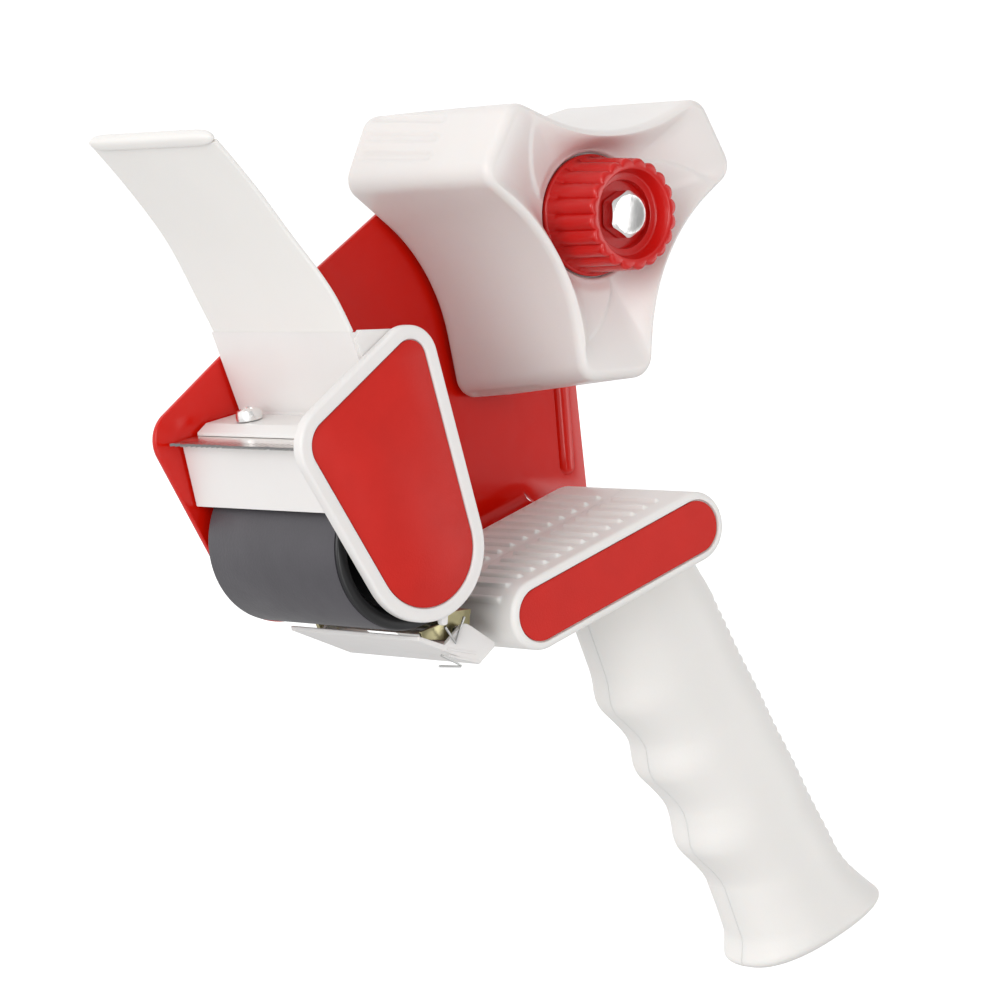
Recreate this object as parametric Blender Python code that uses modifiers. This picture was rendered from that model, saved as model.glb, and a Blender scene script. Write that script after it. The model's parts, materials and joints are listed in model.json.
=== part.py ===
"""Packing-tape hand dispenser.

Units: metres. +Z up, front (roller and blade) towards -X, open side towards -Y.
Design places are stated in millimetres from the tape hub's axle at the frame plate's near
face, then moved so that the origin is the middle of the grip.
"""
import math

import bmesh
import bpy
from mathutils import Matrix, Vector

MM = 0.001
GRIP_X = 34.6
GRIP_Y = -33.5
GRIP_Z = -133.4

# ---------------------------------------------------------------- design places, mm
PLATE_T = 1.5
ROLLER_X = -62.1
ROLLER_Z = -73.7
ROLLER_R = 18.9
ROLLER_NEAR = -52.6
ROLLER_FAR = -2.9

HUB_FAR = -1.6
HUB_NEAR = -50.0
# each hub lobe: middle angle and its twist, reach and its growth towards the plate
LOBES = ((30.9, 0.7, 39.3, -0.1), (152.5, 5.0, 38.9, 3.0), (273.0, -0.4, 39.4, 3.9))
HUB_FACE = -43.4
HUB_SEAT = -40.7
POCKET_R = 10.2
POCKET_Y = -26.0
BUSH_R = 5.0
BOLT_R = 3.0

KNOB_BACK = -41.4
KNOB_RIM = -58.0

PAD_X = -27.8
PAD_Z = -90.2
PAD_SLOPE = math.radians(21.3)
PAD_LENGTH = 49.6
PAD_R = 8.2
PAD_WALL = 2.2
PAD_FAR = -9.0
PAD_NEAR = -58.0
PARTING = -33.5
GRIP_HALF = 14.5
GRIP_WALL = 2.4
GRIP_END = 113.3

CAP_CIRCLES = ((-64.0, -32.3, 7.6), (-84.9, -50.7, 9.2), (-60.1, -74.2, 16.4))
CAP_NEAR = -58.0
CAP_FAR = -55.0
LABEL_INSET = 3.3

FLAP_X = -77.1
FLAP_Z = -25.9
FLAP_RISE = 41.2
FLAP_MID = -27.3

PIN_X = -45.3
PIN_Z = -93.9

SCREW_SLOPE = math.atan(0.204)

RED_METAL = (0.72, 0.03, 0.02, 1.0)
RED_LABEL = (0.62, 0.05, 0.035, 1.0)
RED_KNOB = (0.66, 0.015, 0.015, 1.0)
WHITE = (0.86, 0.84, 0.82, 1.0)
RUBBER = (0.06, 0.058, 0.065, 1.0)
BLACK = (0.02, 0.02, 0.022, 1.0)
STEEL = (0.62, 0.62, 0.62, 1.0)
BRASSY = (0.55, 0.50, 0.33, 1.0)


# ---------------------------------------------------------------- scene and small helpers
def clear_scene():
    for obj in list(bpy.data.objects):
        bpy.data.objects.remove(obj, do_unlink=True)
    for coll in list(bpy.data.collections):
        bpy.data.collections.remove(coll)


def new_collection(name):
    coll = bpy.data.collections.new(name)
    bpy.context.scene.collection.children.link(coll)
    return coll


def material(name, color, rough, metal=0.0):
    mat = bpy.data.materials.new(name)
    mat.use_nodes = True
    shader = mat.node_tree.nodes["Principled BSDF"]
    shader.inputs["Base Color"].default_value = color
    shader.inputs["Roughness"].default_value = rough
    shader.inputs["Metallic"].default_value = metal
    return mat


def place(x, y, z):
    """Design millimetres to metres in the object's frame."""
    return Vector(((x - GRIP_X) * MM, (y - GRIP_Y) * MM, (z - GRIP_Z) * MM))


def pad_place(along, down):
    """Pad frame (along its slope, below its mid-line) to design x, z."""
    x = PAD_X + along * math.cos(PAD_SLOPE) + down * math.sin(PAD_SLOPE)
    z = PAD_Z + along * math.sin(PAD_SLOPE) - down * math.cos(PAD_SLOPE)
    return x, z


def smooth(value):
    t = min(1.0, max(0.0, value))
    return t * t * (3.0 - 2.0 * t)


def link(obj, mat, home):
    """Puts an object in its collection, with its material; cutters stay out of renders."""
    target = home if home is not None else PARTS
    target.objects.link(obj)
    if mat is not None:
        obj.data.materials.append(mat)
    if target is CUTTERS:
        obj.hide_render = True
        obj.display_type = "WIRE"
    return obj


def shade(mesh, degrees=35.0):
    mesh.shade_smooth()
    mesh.set_sharp_from_angle(angle=math.radians(degrees))


def add_object(name, bm, mat, home=None):
    """Object from a hand-made loft whose places are design millimetres."""
    for vert in bm.verts:
        vert.co = place(*vert.co)
    bmesh.ops.recalc_face_normals(bm, faces=bm.faces)
    mesh = bpy.data.meshes.new(name)
    bm.to_mesh(mesh)
    bm.free()
    shade(mesh)
    return link(bpy.data.objects.new(name, mesh), mat, home)


def set_origin(obj, x, y, z):
    """Moves the object's origin onto a joint axis without moving its shape."""
    spot = place(x, y, z)
    inverse = (Matrix.Translation(spot - obj.location) @ obj.rotation_euler.to_matrix().to_4x4())
    obj.data.transform(inverse.inverted() @ obj.rotation_euler.to_matrix().to_4x4())
    obj.location = spot


def axes_matrix(spot, along, across):
    """Frame at a design place with local X and Y along two directions."""
    ex = Vector(along).normalized()
    ey = Vector(across).normalized()
    ez = ex.cross(ey)
    frame = Matrix((ex, ey, ez)).transposed().to_4x4()
    return Matrix.Translation(place(*spot)) @ frame


def flat(name, points, frame, thickness, mat, home=None):
    """Flat outline (mm in the frame's X, Y) given a thickness centred on the frame."""
    curve = bpy.data.curves.new(name, "CURVE")
    curve.dimensions = "2D"
    curve.fill_mode = "BOTH"
    curve.extrude = thickness * MM / 2.0
    spline = curve.splines.new("POLY")
    spline.points.add(len(points) - 1)
    spline.use_cyclic_u = True
    for item, (x, y) in zip(spline.points, points):
        item.co = (x * MM, y * MM, 0.0, 1.0)
    guide = bpy.data.objects.new(name + "_outline", curve)
    bpy.context.scene.collection.objects.link(guide)
    guide.matrix_world = frame
    bpy.context.view_layer.update()
    graph = bpy.context.evaluated_depsgraph_get()
    mesh = bpy.data.meshes.new_from_object(guide.evaluated_get(graph))
    bm = bmesh.new()
    bm.from_mesh(mesh)
    bmesh.ops.remove_doubles(bm, verts=bm.verts, dist=0.000005)
    bmesh.ops.recalc_face_normals(bm, faces=bm.faces)
    bm.to_mesh(mesh)
    bm.free()
    shade(mesh)
    mesh.materials.clear()
    obj = bpy.data.objects.new(name, mesh)
    obj.matrix_world = guide.matrix_world
    bpy.data.objects.remove(guide, do_unlink=True)
    return link(obj, mat, home)


def revolve(name, spot, axis, profile, mat, home, steps):
    """Profile of (radius, height) turned about an axis through a design place."""
    closed = min(radius for radius, height in profile) > 0.0
    area = 0.0
    for (r0, h0), (r1, h1) in zip(profile, profile[1:] + profile[:1]):
        area += r0 * h1 - r1 * h0
    path = profile if area < 0.0 else profile[::-1]
    if not closed:
        start = [i for i, (radius, height) in enumerate(path) if radius <= 0.0]
        first = start[0] if path[start[0] - 1][0] <= 0.0 else start[-1]
        path = path[first:] + path[:first]
    mesh = bpy.data.meshes.new(name)
    count = len(path)
    edges = [(i, i + 1) for i in range(count - 1)]
    if closed:
        edges.append((count - 1, 0))
    mesh.from_pydata([(r * MM, 0.0, h * MM) for r, h in path], edges, [])
    obj = link(bpy.data.objects.new(name, mesh), mat, home)
    obj.location = place(*spot)
    turn = Vector((0.0, 0.0, 1.0)).rotation_difference(Vector(axis).normalized())
    obj.rotation_euler = turn.to_euler()
    screw = obj.modifiers.new("turn", "SCREW")
    screw.steps = steps
    screw.render_steps = steps
    screw.use_merge_vertices = True
    screw.merge_threshold = 0.00001
    screw.use_smooth_shade = True
    return obj


def boolean(obj, tool, operation):
    mod = obj.modifiers.new(operation.lower(), "BOOLEAN")
    mod.operation = operation
    mod.solver = "EXACT"
    mod.object = tool
    return obj


# ---------------------------------------------------------------- outlines in x, z
def rounded(corners, steps=6):
    """Polygon with each corner (x, z, radius) replaced by an arc."""
    points = []
    count = len(corners)
    for index, (x, z, radius) in enumerate(corners):
        here = Vector((x, z))
        before = Vector(corners[index - 1][:2]) - here
        after = Vector(corners[(index + 1) % count][:2]) - here
        if radius <= 0.0:
            points.append((x, z))
            continue
        before.normalize()
        after.normalize()
        half = before.angle(after) / 2.0
        bisector = (before + after).normalized()
        centre = here + bisector * (radius / math.sin(half))
        start = here + before * (radius / math.tan(half)) - centre
        end = here + after * (radius / math.tan(half)) - centre
        turn = start.angle_signed(end)
        for step in range(steps + 1):
            angle = -turn * step / steps
            c, s = math.cos(angle), math.sin(angle)
            spot = Vector((start.x * c - start.y * s, start.x * s + start.y * c))
            points.append(tuple(centre + spot))
    return points


def hull(circles, steps=32):
    """Outline of the tightest belt around circles (x, z, radius)."""
    points = []
    for x, z, radius in circles:
        for step in range(steps):
            angle = 2.0 * math.pi * step / steps
            points.append((x + radius * math.cos(angle), z + radius * math.sin(angle)))
    points = sorted(set(points))

    def chain(ordered):
        out = []
        for point in ordered:
            while len(out) > 1 and _turn(out[-2], out[-1], point) <= 1e-9:
                out.pop()
            out.append(point)
        return out[:-1]

    return chain(points) + chain(points[::-1])


def _turn(a, b, c):
    return (b[0] - a[0]) * (c[1] - a[1]) - (b[1] - a[1]) * (c[0] - a[0])


def ring(x, z, radius, steps=24, phase=0.0):
    angles = [phase + 2.0 * math.pi * step / steps for step in range(steps)]
    return [(x + radius * math.cos(a), z + radius * math.sin(a)) for a in angles]


def stadium(radius, front=0.0, rear=PAD_LENGTH, steps=9):
    """Pad section: two half circles joined, in design x, z."""
    points = []
    for step in range(steps + 1):
        angle = math.pi / 2.0 + math.pi * step / steps
        points.append((front + radius * math.cos(angle), -radius * math.sin(angle)))
    for step in range(steps + 1):
        angle = -math.pi / 2.0 + math.pi * step / steps
        points.append((rear + radius * math.cos(angle), -radius * math.sin(angle)))
    return [pad_place(a, d) for a, d in points]


# ---------------------------------------------------------------- solids
def prism(name, outline, y0, y1, mat, home=None):
    """Outline in design x, z given the thickness from y0 to y1."""
    middle = (y0 + y1) / 2.0
    x0, z0 = outline[0]
    frame = axes_matrix((x0, middle, z0), (1.0, 0.0, 0.0), (0.0, 0.0, 1.0))
    points = [(x - x0, z - z0) for x, z in outline]
    return flat(name, points, frame, abs(y1 - y0), mat, home)


def loft(name, sections, mat, home=None):
    """Skin through unlike outlines with equal point counts, each at its own y."""
    mesh = bmesh.new()
    rows = []
    for outline, y in sections:
        rows.append([mesh.verts.new((x, y, z)) for x, z in outline])
    skin(mesh, rows)
    return add_object(name, mesh, mat, home)


def skin(mesh, rows):
    for low, high in zip(rows, rows[1:]):
        count = len(low)
        for i in range(count):
            j = (i + 1) % count
            mesh.faces.new((low[i], low[j], high[j], high[i]))
    mesh.faces.new(rows[0])
    mesh.faces.new(rows[-1])


def rod(name, x, z, radius, y0, y1, mat=None, home=None, steps=28):
    """Plain cylinder along Y."""
    bm = bmesh.new()
    bmesh.ops.create_cone(
        bm, cap_ends=True, segments=steps, radius1=radius * MM, radius2=radius * MM,
        depth=abs(y1 - y0) * MM)
    mesh = bpy.data.meshes.new(name)
    bm.to_mesh(mesh)
    bm.free()
    shade(mesh)
    obj = link(bpy.data.objects.new(name, mesh), mat, home)
    obj.location = place(x, (y0 + y1) / 2.0, z)
    obj.rotation_euler = (math.pi / 2.0, 0.0, 0.0)
    return obj


def turned(name, x, z, profile, mat, home=None, steps=36):
    """Profile of (radius, y) turned about an axis along Y."""
    heights = [(radius, -y) for radius, y in profile]
    return revolve(name, (x, 0.0, z), (0.0, -1.0, 0.0), heights, mat, home, steps)


def aimed(name, spot, direction, profile, mat, home=None, steps=24):
    """Profile of (radius, height) turned about an axis in the x, z plane."""
    return revolve(name, spot, (direction[0], 0.0, direction[1]), profile, mat, home, steps)


def wire(name, points, radius, mat):
    """Round wire along points in design mm."""
    curve = bpy.data.curves.new(name, "CURVE")
    curve.dimensions = "3D"
    curve.bevel_depth = radius * MM
    curve.bevel_resolution = 2
    curve.use_fill_caps = True
    spline = curve.splines.new("POLY")
    spline.points.add(len(points) - 1)
    for item, spot in zip(spline.points, points):
        item.co = (*place(*spot), 1.0)
    return link(bpy.data.objects.new(name, curve), mat, None)


# ---------------------------------------------------------------- frame plate
def plate_outline():
    bend_rear = pad_place(47.0, -PAD_R)
    bend_front = pad_place(3.0, -PAD_R)
    relief = pad_place(1.0, -2.0)
    return [
        (-95.3, -49.0, 7.4), (-66.5, -95.2, 17.5), (relief[0], relief[1], 1.5),
        (*bend_front, 0.0), (*bend_rear, 0.0), (19.0, -70.0, 1.5), (33.3, -70.0, 3.0),
        (26.6, -16.5, 12.0), (5.5, 26.6, 17.0), (-74.0, -31.4, 60.0),
    ]


def build_plate(mats):
    """Flat sheet with its lower edge bent towards the open side, to enter the pad."""
    plate = prism("frame_plate", rounded(plate_outline()), 0.0, PLATE_T, mats["red_metal"])
    x, z = pad_place(25.0, 0.0)
    up = (-math.sin(PAD_SLOPE), 0.0, math.cos(PAD_SLOPE))
    frame = axes_matrix((x, 0.0, z), (0.0, 1.0, 0.0), up)
    boolean(plate, flat("bend_form", bend_path(), frame, 44.0, None, CUTTERS), "UNION")
    rib = hull(((23.2, -24.0, 2.2), (26.5, -59.5, 2.2)), 16)
    low = hull(((23.2, -24.0, 1.1), (26.5, -59.5, 1.1)), 16)
    boolean(plate, loft("rib_form", [(rib, 0.7), (rib, -0.3), (low, -1.1)], None, CUTTERS), "UNION")
    for name, x, z, radius in PLATE_HOLES:
        boolean(plate, rod(name + "_hole", x, z, radius, -6.0, 6.0, None, CUTTERS, 20), "DIFFERENCE")
    return plate


def bend_path():
    """Section (y, height) of the bent edge, starting inside the sheet."""
    radius = 2.5
    middle = PAD_R
    inner = []
    outer = []
    for step in range(7):
        angle = math.pi / 2.0 * step / 6
        c, s = math.cos(angle), math.sin(angle)
        inner.append((-radius + radius * c, middle - radius * s))
        outer.append((-radius + (radius + PLATE_T) * c, middle - (radius + PLATE_T) * s))
    inner = [(0.0, middle + 4.0)] + inner + [(-42.0, middle - radius)]
    outer = [(PLATE_T, middle + 4.0)] + outer + [(-42.0, middle - radius - PLATE_T)]
    return inner + outer[::-1]


HOUSING_SCREWS = (("upper", -66.5, -36.0), ("lower", -79.0, -57.5))
PLATE_HOLES = (
    ("axle", 0.0, 0.0, BOLT_R + 0.4),
    ("roller", ROLLER_X, ROLLER_Z, 2.9),
    ("upper", -66.5, -36.0, 2.0),
    ("lower", -79.0, -57.5, 2.0),
    ("bracket", -45.5, -86.2, 1.7),
)


# ---------------------------------------------------------------- front housing and cap
def blade_top(x):
    return -47.3 - 0.204 * (-70.0 - x)


def build_housing(mats):
    """Slanted wall, shelf under the blade and front panel, with a wall at each side."""
    run = [
        (-78.0, -26.2), (-75.9, -26.2), (-68.2, -44.2), (-67.6, -51.2), (-83.2, -54.4),
        (-80.4, -65.8), (-82.4, -65.8), (-86.2, blade_top(-86.2) - 1.0),
        (-70.2, blade_top(-70.2) - 1.0), (-70.3, -44.3),
    ]
    body = prism("front_housing", run, -0.9, -54.1, mats["white"])
    near = rounded([
        (-76.7, -27.4, 0.0), (-75.3, -25.7, 0.0), (-64.2, -25.5, 5.0), (-56.5, -28.0, 5.0),
        (-45.6, -72.0, 14.0), (-54.0, -89.6, 12.0), (-70.0, -84.0, 6.0), (-81.9, -63.9, 0.0),
        (-84.4, -53.7, 0.0), (-69.1, -50.4, 0.0), (-69.3, -44.6, 0.0),
    ], 4)
    far = rounded([
        (-76.7, -27.4, 0.0), (-75.3, -25.7, 0.0), (-62.0, -27.6, 4.0), (-56.0, -46.0, 6.0),
        (-61.0, -53.6, 3.0), (-79.0, -54.0, 0.0), (-76.0, -58.0, 3.0), (-78.0, -62.5, 0.0),
        (-82.2, -62.6, 0.0), (-84.4, -53.7, 0.0), (-69.1, -50.4, 0.0), (-69.3, -44.6, 0.0),
    ], 4)
    boolean(body, prism("near_wall", near, -53.1, -54.7, None, CUTTERS), "UNION")
    boolean(body, prism("far_wall", far, -0.4, -2.4, None, CUTTERS), "UNION")
    boolean(body, rod("upper_boss", -66.5, -36.0, 3.4, -1.0, -12.0, None, CUTTERS, 20), "UNION")
    for name, x, z in HOUSING_SCREWS:
        reach = -10.0 if name == "upper" else -3.0
        boolean(body, rod(name + "_bore", x, z, 1.9, 0.5, reach, None, CUTTERS, 16), "DIFFERENCE")
    boolean(body, rod("axle_bore", ROLLER_X, ROLLER_Z, 2.9, -50.0, -56.0, None, CUTTERS, 20), "DIFFERENCE")
    for y in (-14.0, -40.6):
        boolean(body, screw_cutter("shelf_bore", y, 1.8), "DIFFERENCE")
    return body


def screw_direction():
    return -math.sin(SCREW_SLOPE), math.cos(SCREW_SLOPE)


def screw_cutter(name, y, radius):
    spot = (-76.2, y, blade_top(-76.2))
    shape = [(0.0, -8.0), (radius, -8.0), (radius, 8.0), (0.0, 8.0)]
    return aimed(name, spot, screw_direction(), shape, None, CUTTERS, 16)


def build_clamp(mats):
    """Lip that holds the blade down, drawn from plate to cap."""
    low = 0.35
    outline = [
        (-70.8, -45.6), (-71.2, -44.9), (-79.6, -46.9), (-81.7, -49.0),
        (-81.7, blade_top(-81.7) + low), (-70.8, blade_top(-70.8) + low),
    ]
    clamp = prism("blade_clamp", outline, -1.2, -54.6, mats["white"])
    for y in (-14.0, -40.6):
        boolean(clamp, screw_cutter("clamp_bore", y, 1.8), "DIFFERENCE")
    return clamp


def build_blade(mats):
    """Serrated steel strip lying on the shelf."""
    teeth = 25
    first, last = 26.6, -26.6
    pitch = (last - first) / teeth
    edge = [(14.3, last), (14.3, first), (-3.1, first)]
    for tooth in range(teeth):
        across = first + pitch * tooth
        edge.append((-4.8, across + pitch * 0.16))
        if tooth < teeth - 1:
            edge.append((-3.1, across + pitch))
    edge.append((-3.1, last))
    slope = (math.cos(SCREW_SLOPE), 0.0, math.sin(SCREW_SLOPE))
    frame = axes_matrix((-85.2, -27.6, blade_top(-85.2) - 0.33), slope, (0.0, 1.0, 0.0))
    blade = flat("cutting_blade", edge, frame, 0.65, mats["steel"])
    for y in (-14.0, -40.6):
        boolean(blade, screw_cutter("blade_bore", y, 1.8), "DIFFERENCE")
    return blade


def build_clamp_screws(mats):
    seat = 2.65
    shape = [
        (0.0, -5.0), (1.4, -5.0), (1.4, seat), (3.0, seat), (3.1, seat + 0.7),
        (2.5, seat + 2.3), (1.2, seat + 2.9), (0.0, seat + 2.9),
    ]
    for name, y in (("clamp_screw_far", -14.0), ("clamp_screw_near", -40.6)):
        spot = (-76.2, y, blade_top(-76.2))
        aimed(name, spot, screw_direction(), shape, mats["chrome"], None, 16)


def build_cap(mats):
    outline = hull(CAP_CIRCLES)
    edge = hull([(x, z, r - 0.7) for x, z, r in CAP_CIRCLES])
    cap = prism("side_cap", outline, CAP_FAR, CAP_NEAR + 0.7, mats["white"])
    rim = prism("cap_rim", edge, CAP_FAR - 0.4, CAP_NEAR, None, CUTTERS)
    boolean(cap, rim, "UNION")
    inset = [(x, z, r - LABEL_INSET + 0.25) for x, z, r in CAP_CIRCLES]
    boolean(cap, prism("cap_recess", hull(inset), -57.0, -60.0, None, CUTTERS), "DIFFERENCE")
    label = hull([(x, z, r - LABEL_INSET) for x, z, r in CAP_CIRCLES])
    prism("cap_label", label, -57.25, -57.65, mats["label"])
    return cap


def build_housing_screws(mats):
    for name, x, z in HOUSING_SCREWS:
        end = -9.0 if name == "upper" else -2.6
        shape = [(0.0, end), (1.5, end), (1.5, 1.8), (3.2, 1.8), (3.0, 3.2), (1.6, 3.8), (0.0, 3.8)]
        turned("housing_screw_" + name, x, z, shape, mats["chrome"], None, 16)


# ---------------------------------------------------------------- wiper flap
def flap_x(rise):
    return FLAP_X - 0.545 * rise - 0.0065 * rise * rise


def flap_half(rise):
    return 26.4 - 2.5 * smooth((rise - 6.0) / 18.0)


def build_flap(mats):
    """Thin curved sheet with a bead along its free edge."""
    rows = []
    mesh = bmesh.new()
    steps = 16
    for step in range(steps + 1):
        rise = FLAP_RISE * step / steps
        slope = Vector((-0.545 - 0.013 * rise, 1.0)).normalized()
        out = Vector((-slope.y, slope.x))
        thick = 0.55
        rows.append(flap_row(mesh, rise, out, slope, thick, 0.0))
    tip = FLAP_RISE
    slope = Vector((-0.545 - 0.013 * tip, 1.0)).normalized()
    out = Vector((-slope.y, slope.x))
    for forward, thick in ((0.5, 1.25), (1.5, 1.65), (2.6, 1.25), (3.1, 0.6)):
        rows.append(flap_row(mesh, tip, out, slope, thick, forward))
    skin(mesh, rows)
    flap = add_object("wiper_flap", mesh, mats["white"])
    set_origin(flap, FLAP_X, FLAP_MID, FLAP_Z)
    return flap


def flap_row(mesh, rise, out, slope, thick, forward):
    x = flap_x(rise) + slope.x * forward
    z = FLAP_Z + rise + slope.y * forward
    half = flap_half(rise) - (0.8 if forward > 2.0 else 0.0)
    row = []
    for side, way in ((1, 1), (1, -1), (-1, -1), (-1, 1)):
        y = FLAP_MID + side * half
        row.append(mesh.verts.new((x + out.x * thick * way, y, z + out.y * thick * way)))
    return row


# ---------------------------------------------------------------- roller
def build_roller(mats):
    sleeve = [(16.4, ROLLER_FAR), (ROLLER_R - 0.5, ROLLER_FAR), (ROLLER_R, ROLLER_FAR - 0.5),
              (ROLLER_R, ROLLER_NEAR + 0.5), (ROLLER_R - 0.5, ROLLER_NEAR), (16.4, ROLLER_NEAR)]
    part = turned("roller_sleeve", ROLLER_X, ROLLER_Z, sleeve, mats["rubber"], None, 40)
    set_origin(part, ROLLER_X, 0.0, ROLLER_Z)
    near, far = ROLLER_NEAR + 0.3, ROLLER_FAR - 0.3
    core = [
        (16.1, near), (16.1, far), (14.3, far), (14.3, -44.0), (5.6, -44.0), (5.6, far),
        (3.1, far), (3.1, near), (5.6, near), (5.6, -46.0), (14.3, -46.0), (14.3, near),
    ]
    part = turned("roller_core", ROLLER_X, ROLLER_Z, core, mats["black"], None, 28)
    set_origin(part, ROLLER_X, 0.0, ROLLER_Z)
    axle = [(0.0, -54.5), (2.3, -54.5), (2.6, -54.2), (2.6, 5.6), (2.3, 5.9), (0.0, 5.9)]
    turned("roller_axle", ROLLER_X, ROLLER_Z, axle, mats["steel"], None, 24)
    nut("roller_nut", ROLLER_X, ROLLER_Z, 1.8, 5.0, 4.6, 2.9, mats)


def nut(name, x, z, y0, y1, half, bore, mats):
    """Hexagon with a plain bore, half = across flats / 2."""
    corner = half / math.cos(math.pi / 6.0)
    body = prism(name, ring(x, z, corner, 6), y0, y1, mats["steel"])
    boolean(body, rod(name + "_bore", x, z, bore, y0 - 1.0, y1 + 1.0, None, CUTTERS, 20), "DIFFERENCE")
    return body


# ---------------------------------------------------------------- tape hub
def lobes(share, inset):
    """Three-lobed outline around the axle; share 0 at the near end, 1 at the far end."""
    corners = []
    spread = 15.0 - 2.3 * share
    dip = 16.0 + 3.0 * share - inset
    for middle, twist, reach, growth in LOBES:
        middle += twist * share
        tip = reach + growth * share
        for turn in (-spread, spread):
            angle = math.radians(middle + turn * (1.0 - 0.35 * inset / tip))
            radius = tip - inset
            corners.append((radius * math.cos(angle), radius * math.sin(angle), max(0.6, 5.0 - inset * 0.6)))
        angle = math.radians(middle + 60.0)
        corners.append((dip * math.cos(angle), dip * math.sin(angle), 45.0 + inset))
    return rounded(corners, 5)


def build_hub(mats):
    """Hollow tapered hub, open towards the plate, dished at its near face."""
    outer = [(lobes(1.0, 2.0), HUB_FAR), (lobes(1.0, 0.0), HUB_FAR - 1.2),
             (lobes(0.0, 0.0), HUB_NEAR + 2.6), (lobes(0.0, 0.8), HUB_NEAR + 0.8),
             (lobes(0.0, 2.6), HUB_NEAR)]
    hub = loft("hub_shell", outer, mats["white"])
    cavity = [(lobes(1.0, 2.6), HUB_FAR + 2.0), (lobes(0.25, 2.6), -36.0)]
    boolean(hub, loft("hub_cavity", cavity, None, CUTTERS), "DIFFERENCE")
    dish = [(lobes(0.0, 3.2), HUB_NEAR - 2.0), (lobes(0.0, 4.4), -48.6), (lobes(0.0, 9.0), HUB_FACE)]
    boolean(hub, loft("hub_dish", dish, None, CUTTERS), "DIFFERENCE")
    boolean(hub, rod("hub_tube", 0, 0, 7.6, -37.0, -2.4, None, CUTTERS, 28), "UNION")
    boolean(hub, rod("hub_cup", 0, 0, 12.4, -37.0, -24.0, None, CUTTERS, 32), "UNION")
    boolean(hub, rod("hub_seat", 0, 0, 16.3, HUB_SEAT, -60.0, None, CUTTERS, 40), "DIFFERENCE")
    boolean(hub, rod("hub_pocket", 0, 0, POCKET_R, POCKET_Y, -60.0, None, CUTTERS, 32), "DIFFERENCE")
    boolean(hub, rod("hub_bore", 0, 0, BUSH_R + 0.3, 2.0, -60.0, None, CUTTERS, 28), "DIFFERENCE")
    bush = [(BUSH_R, -1.9), (BUSH_R, -25.6), (BOLT_R + 0.3, -25.6), (BOLT_R + 0.3, -1.9)]
    turned("hub_bush", 0.0, 0.0, bush, mats["black"], None, 28)
    return hub


def build_tension(mats):
    """Knob on the axle bolt, pressure washer and spring in the hub's pocket."""
    washer = [(9.6, -39.9), (9.6, -41.1), (BOLT_R + 0.3, -41.1), (BOLT_R + 0.3, -39.9)]
    turned("pressure_washer", 0.0, 0.0, washer, mats["steel"], None, 32)
    coil = []
    turns, per = 5.5, 12
    total = int(turns * per)
    low, high = POCKET_Y - 1.0, -39.1
    for step in range(total + 1):
        angle = 2.0 * math.pi * step / per
        share = smooth((step / total - 0.12) / 0.76) * 0.7 + 0.3 * step / total
        coil.append((7.6 * math.cos(angle), low + (high - low) * share, 7.6 * math.sin(angle)))
    wire("tension_spring", coil, 0.6, mats["steel"])
    build_knob(mats)
    build_bolt(mats)


def fluted(radius, depth, count=20, steps=3):
    """Circle with shallow scallops between rounded ridges."""
    points = []
    total = count * steps
    for step in range(total):
        angle = 2.0 * math.pi * step / total
        wave = abs(math.sin(count * angle / 2.0))
        reach = radius - depth * (1.0 - wave)
        points.append((reach * math.cos(angle), reach * math.sin(angle)))
    return points


def build_knob(mats):
    base = ring(0.0, 0.0, 14.1, 60)
    knob = loft("tension_knob", [
        (base, KNOB_BACK), (base, KNOB_BACK - 1.7), (fluted(13.3, 0.9), KNOB_BACK - 1.9),
        (fluted(12.8, 0.9), KNOB_RIM + 0.7), (fluted(12.3, 0.7), KNOB_RIM),
    ], mats["knob"])
    well = [(0.0, -52.2), (7.9, -52.2), (7.9, -54.2), (9.6, -54.2), (10.4, -60.0), (0.0, -60.0)]
    boolean(knob, turned("knob_well", 0, 0, well, None, CUTTERS, 32), "DIFFERENCE")
    boolean(knob, rod("knob_bore", 0, 0, BOLT_R + 0.3, -38.0, -60.0, None, CUTTERS, 24), "DIFFERENCE")
    return knob


def build_bolt(mats):
    """Hexagon-head bolt through knob, hub and plate, and its nut."""
    head = 4.9 / math.cos(math.pi / 6.0)
    body = prism("axle_bolt", ring(0.0, 0.0, head, 6), -52.5, -56.4, mats["chrome"])
    dome = [(0.0, -50.0), (6.2, -50.0), (6.2, -55.7), (4.5, -56.5), (0.0, -56.5)]
    boolean(body, turned("head_form", 0, 0, dome, None, CUTTERS, 32), "INTERSECT")
    shank = [(0.0, -53.0), (BOLT_R, -53.0), (BOLT_R, 7.6), (BOLT_R - 0.5, 8.2), (0.0, 8.2)]
    boolean(body, turned("shank_form", 0, 0, shank, None, CUTTERS, 24), "UNION")
    ring_shape = [(6.6, 1.8), (6.6, 2.9), (BOLT_R + 0.3, 2.9), (BOLT_R + 0.3, 1.8)]
    turned("axle_washer", 0.0, 0.0, ring_shape, mats["steel"], None, 28)
    nut("axle_nut", 0.0, 0.0, 3.2, 7.2, 5.0, BOLT_R + 0.3, mats)


# ---------------------------------------------------------------- handle
def grip_edges(down):
    """Front and rear of the grip along the pad's slope, at a distance below the pad."""
    front = 28.4 + 0.037 * down
    for start in (39.1, 58.6, 80.5):
        front += 4.1 * smooth((down - start) / 12.6)
        front -= 1.3 * math.exp(-((down - start + 1.5) / 4.0) ** 2)
    front -= 3.7 * smooth((down - 105.4) / 9.4)
    rear = 62.1 + 0.183 * (down - 21.0)
    rear += 4.5 * max(0.0, (down - 94.3) / 14.4) ** 1.6
    if down < 21.0:
        rear = 62.1 + 0.30 * (down - 21.0)
    return front, rear


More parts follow.
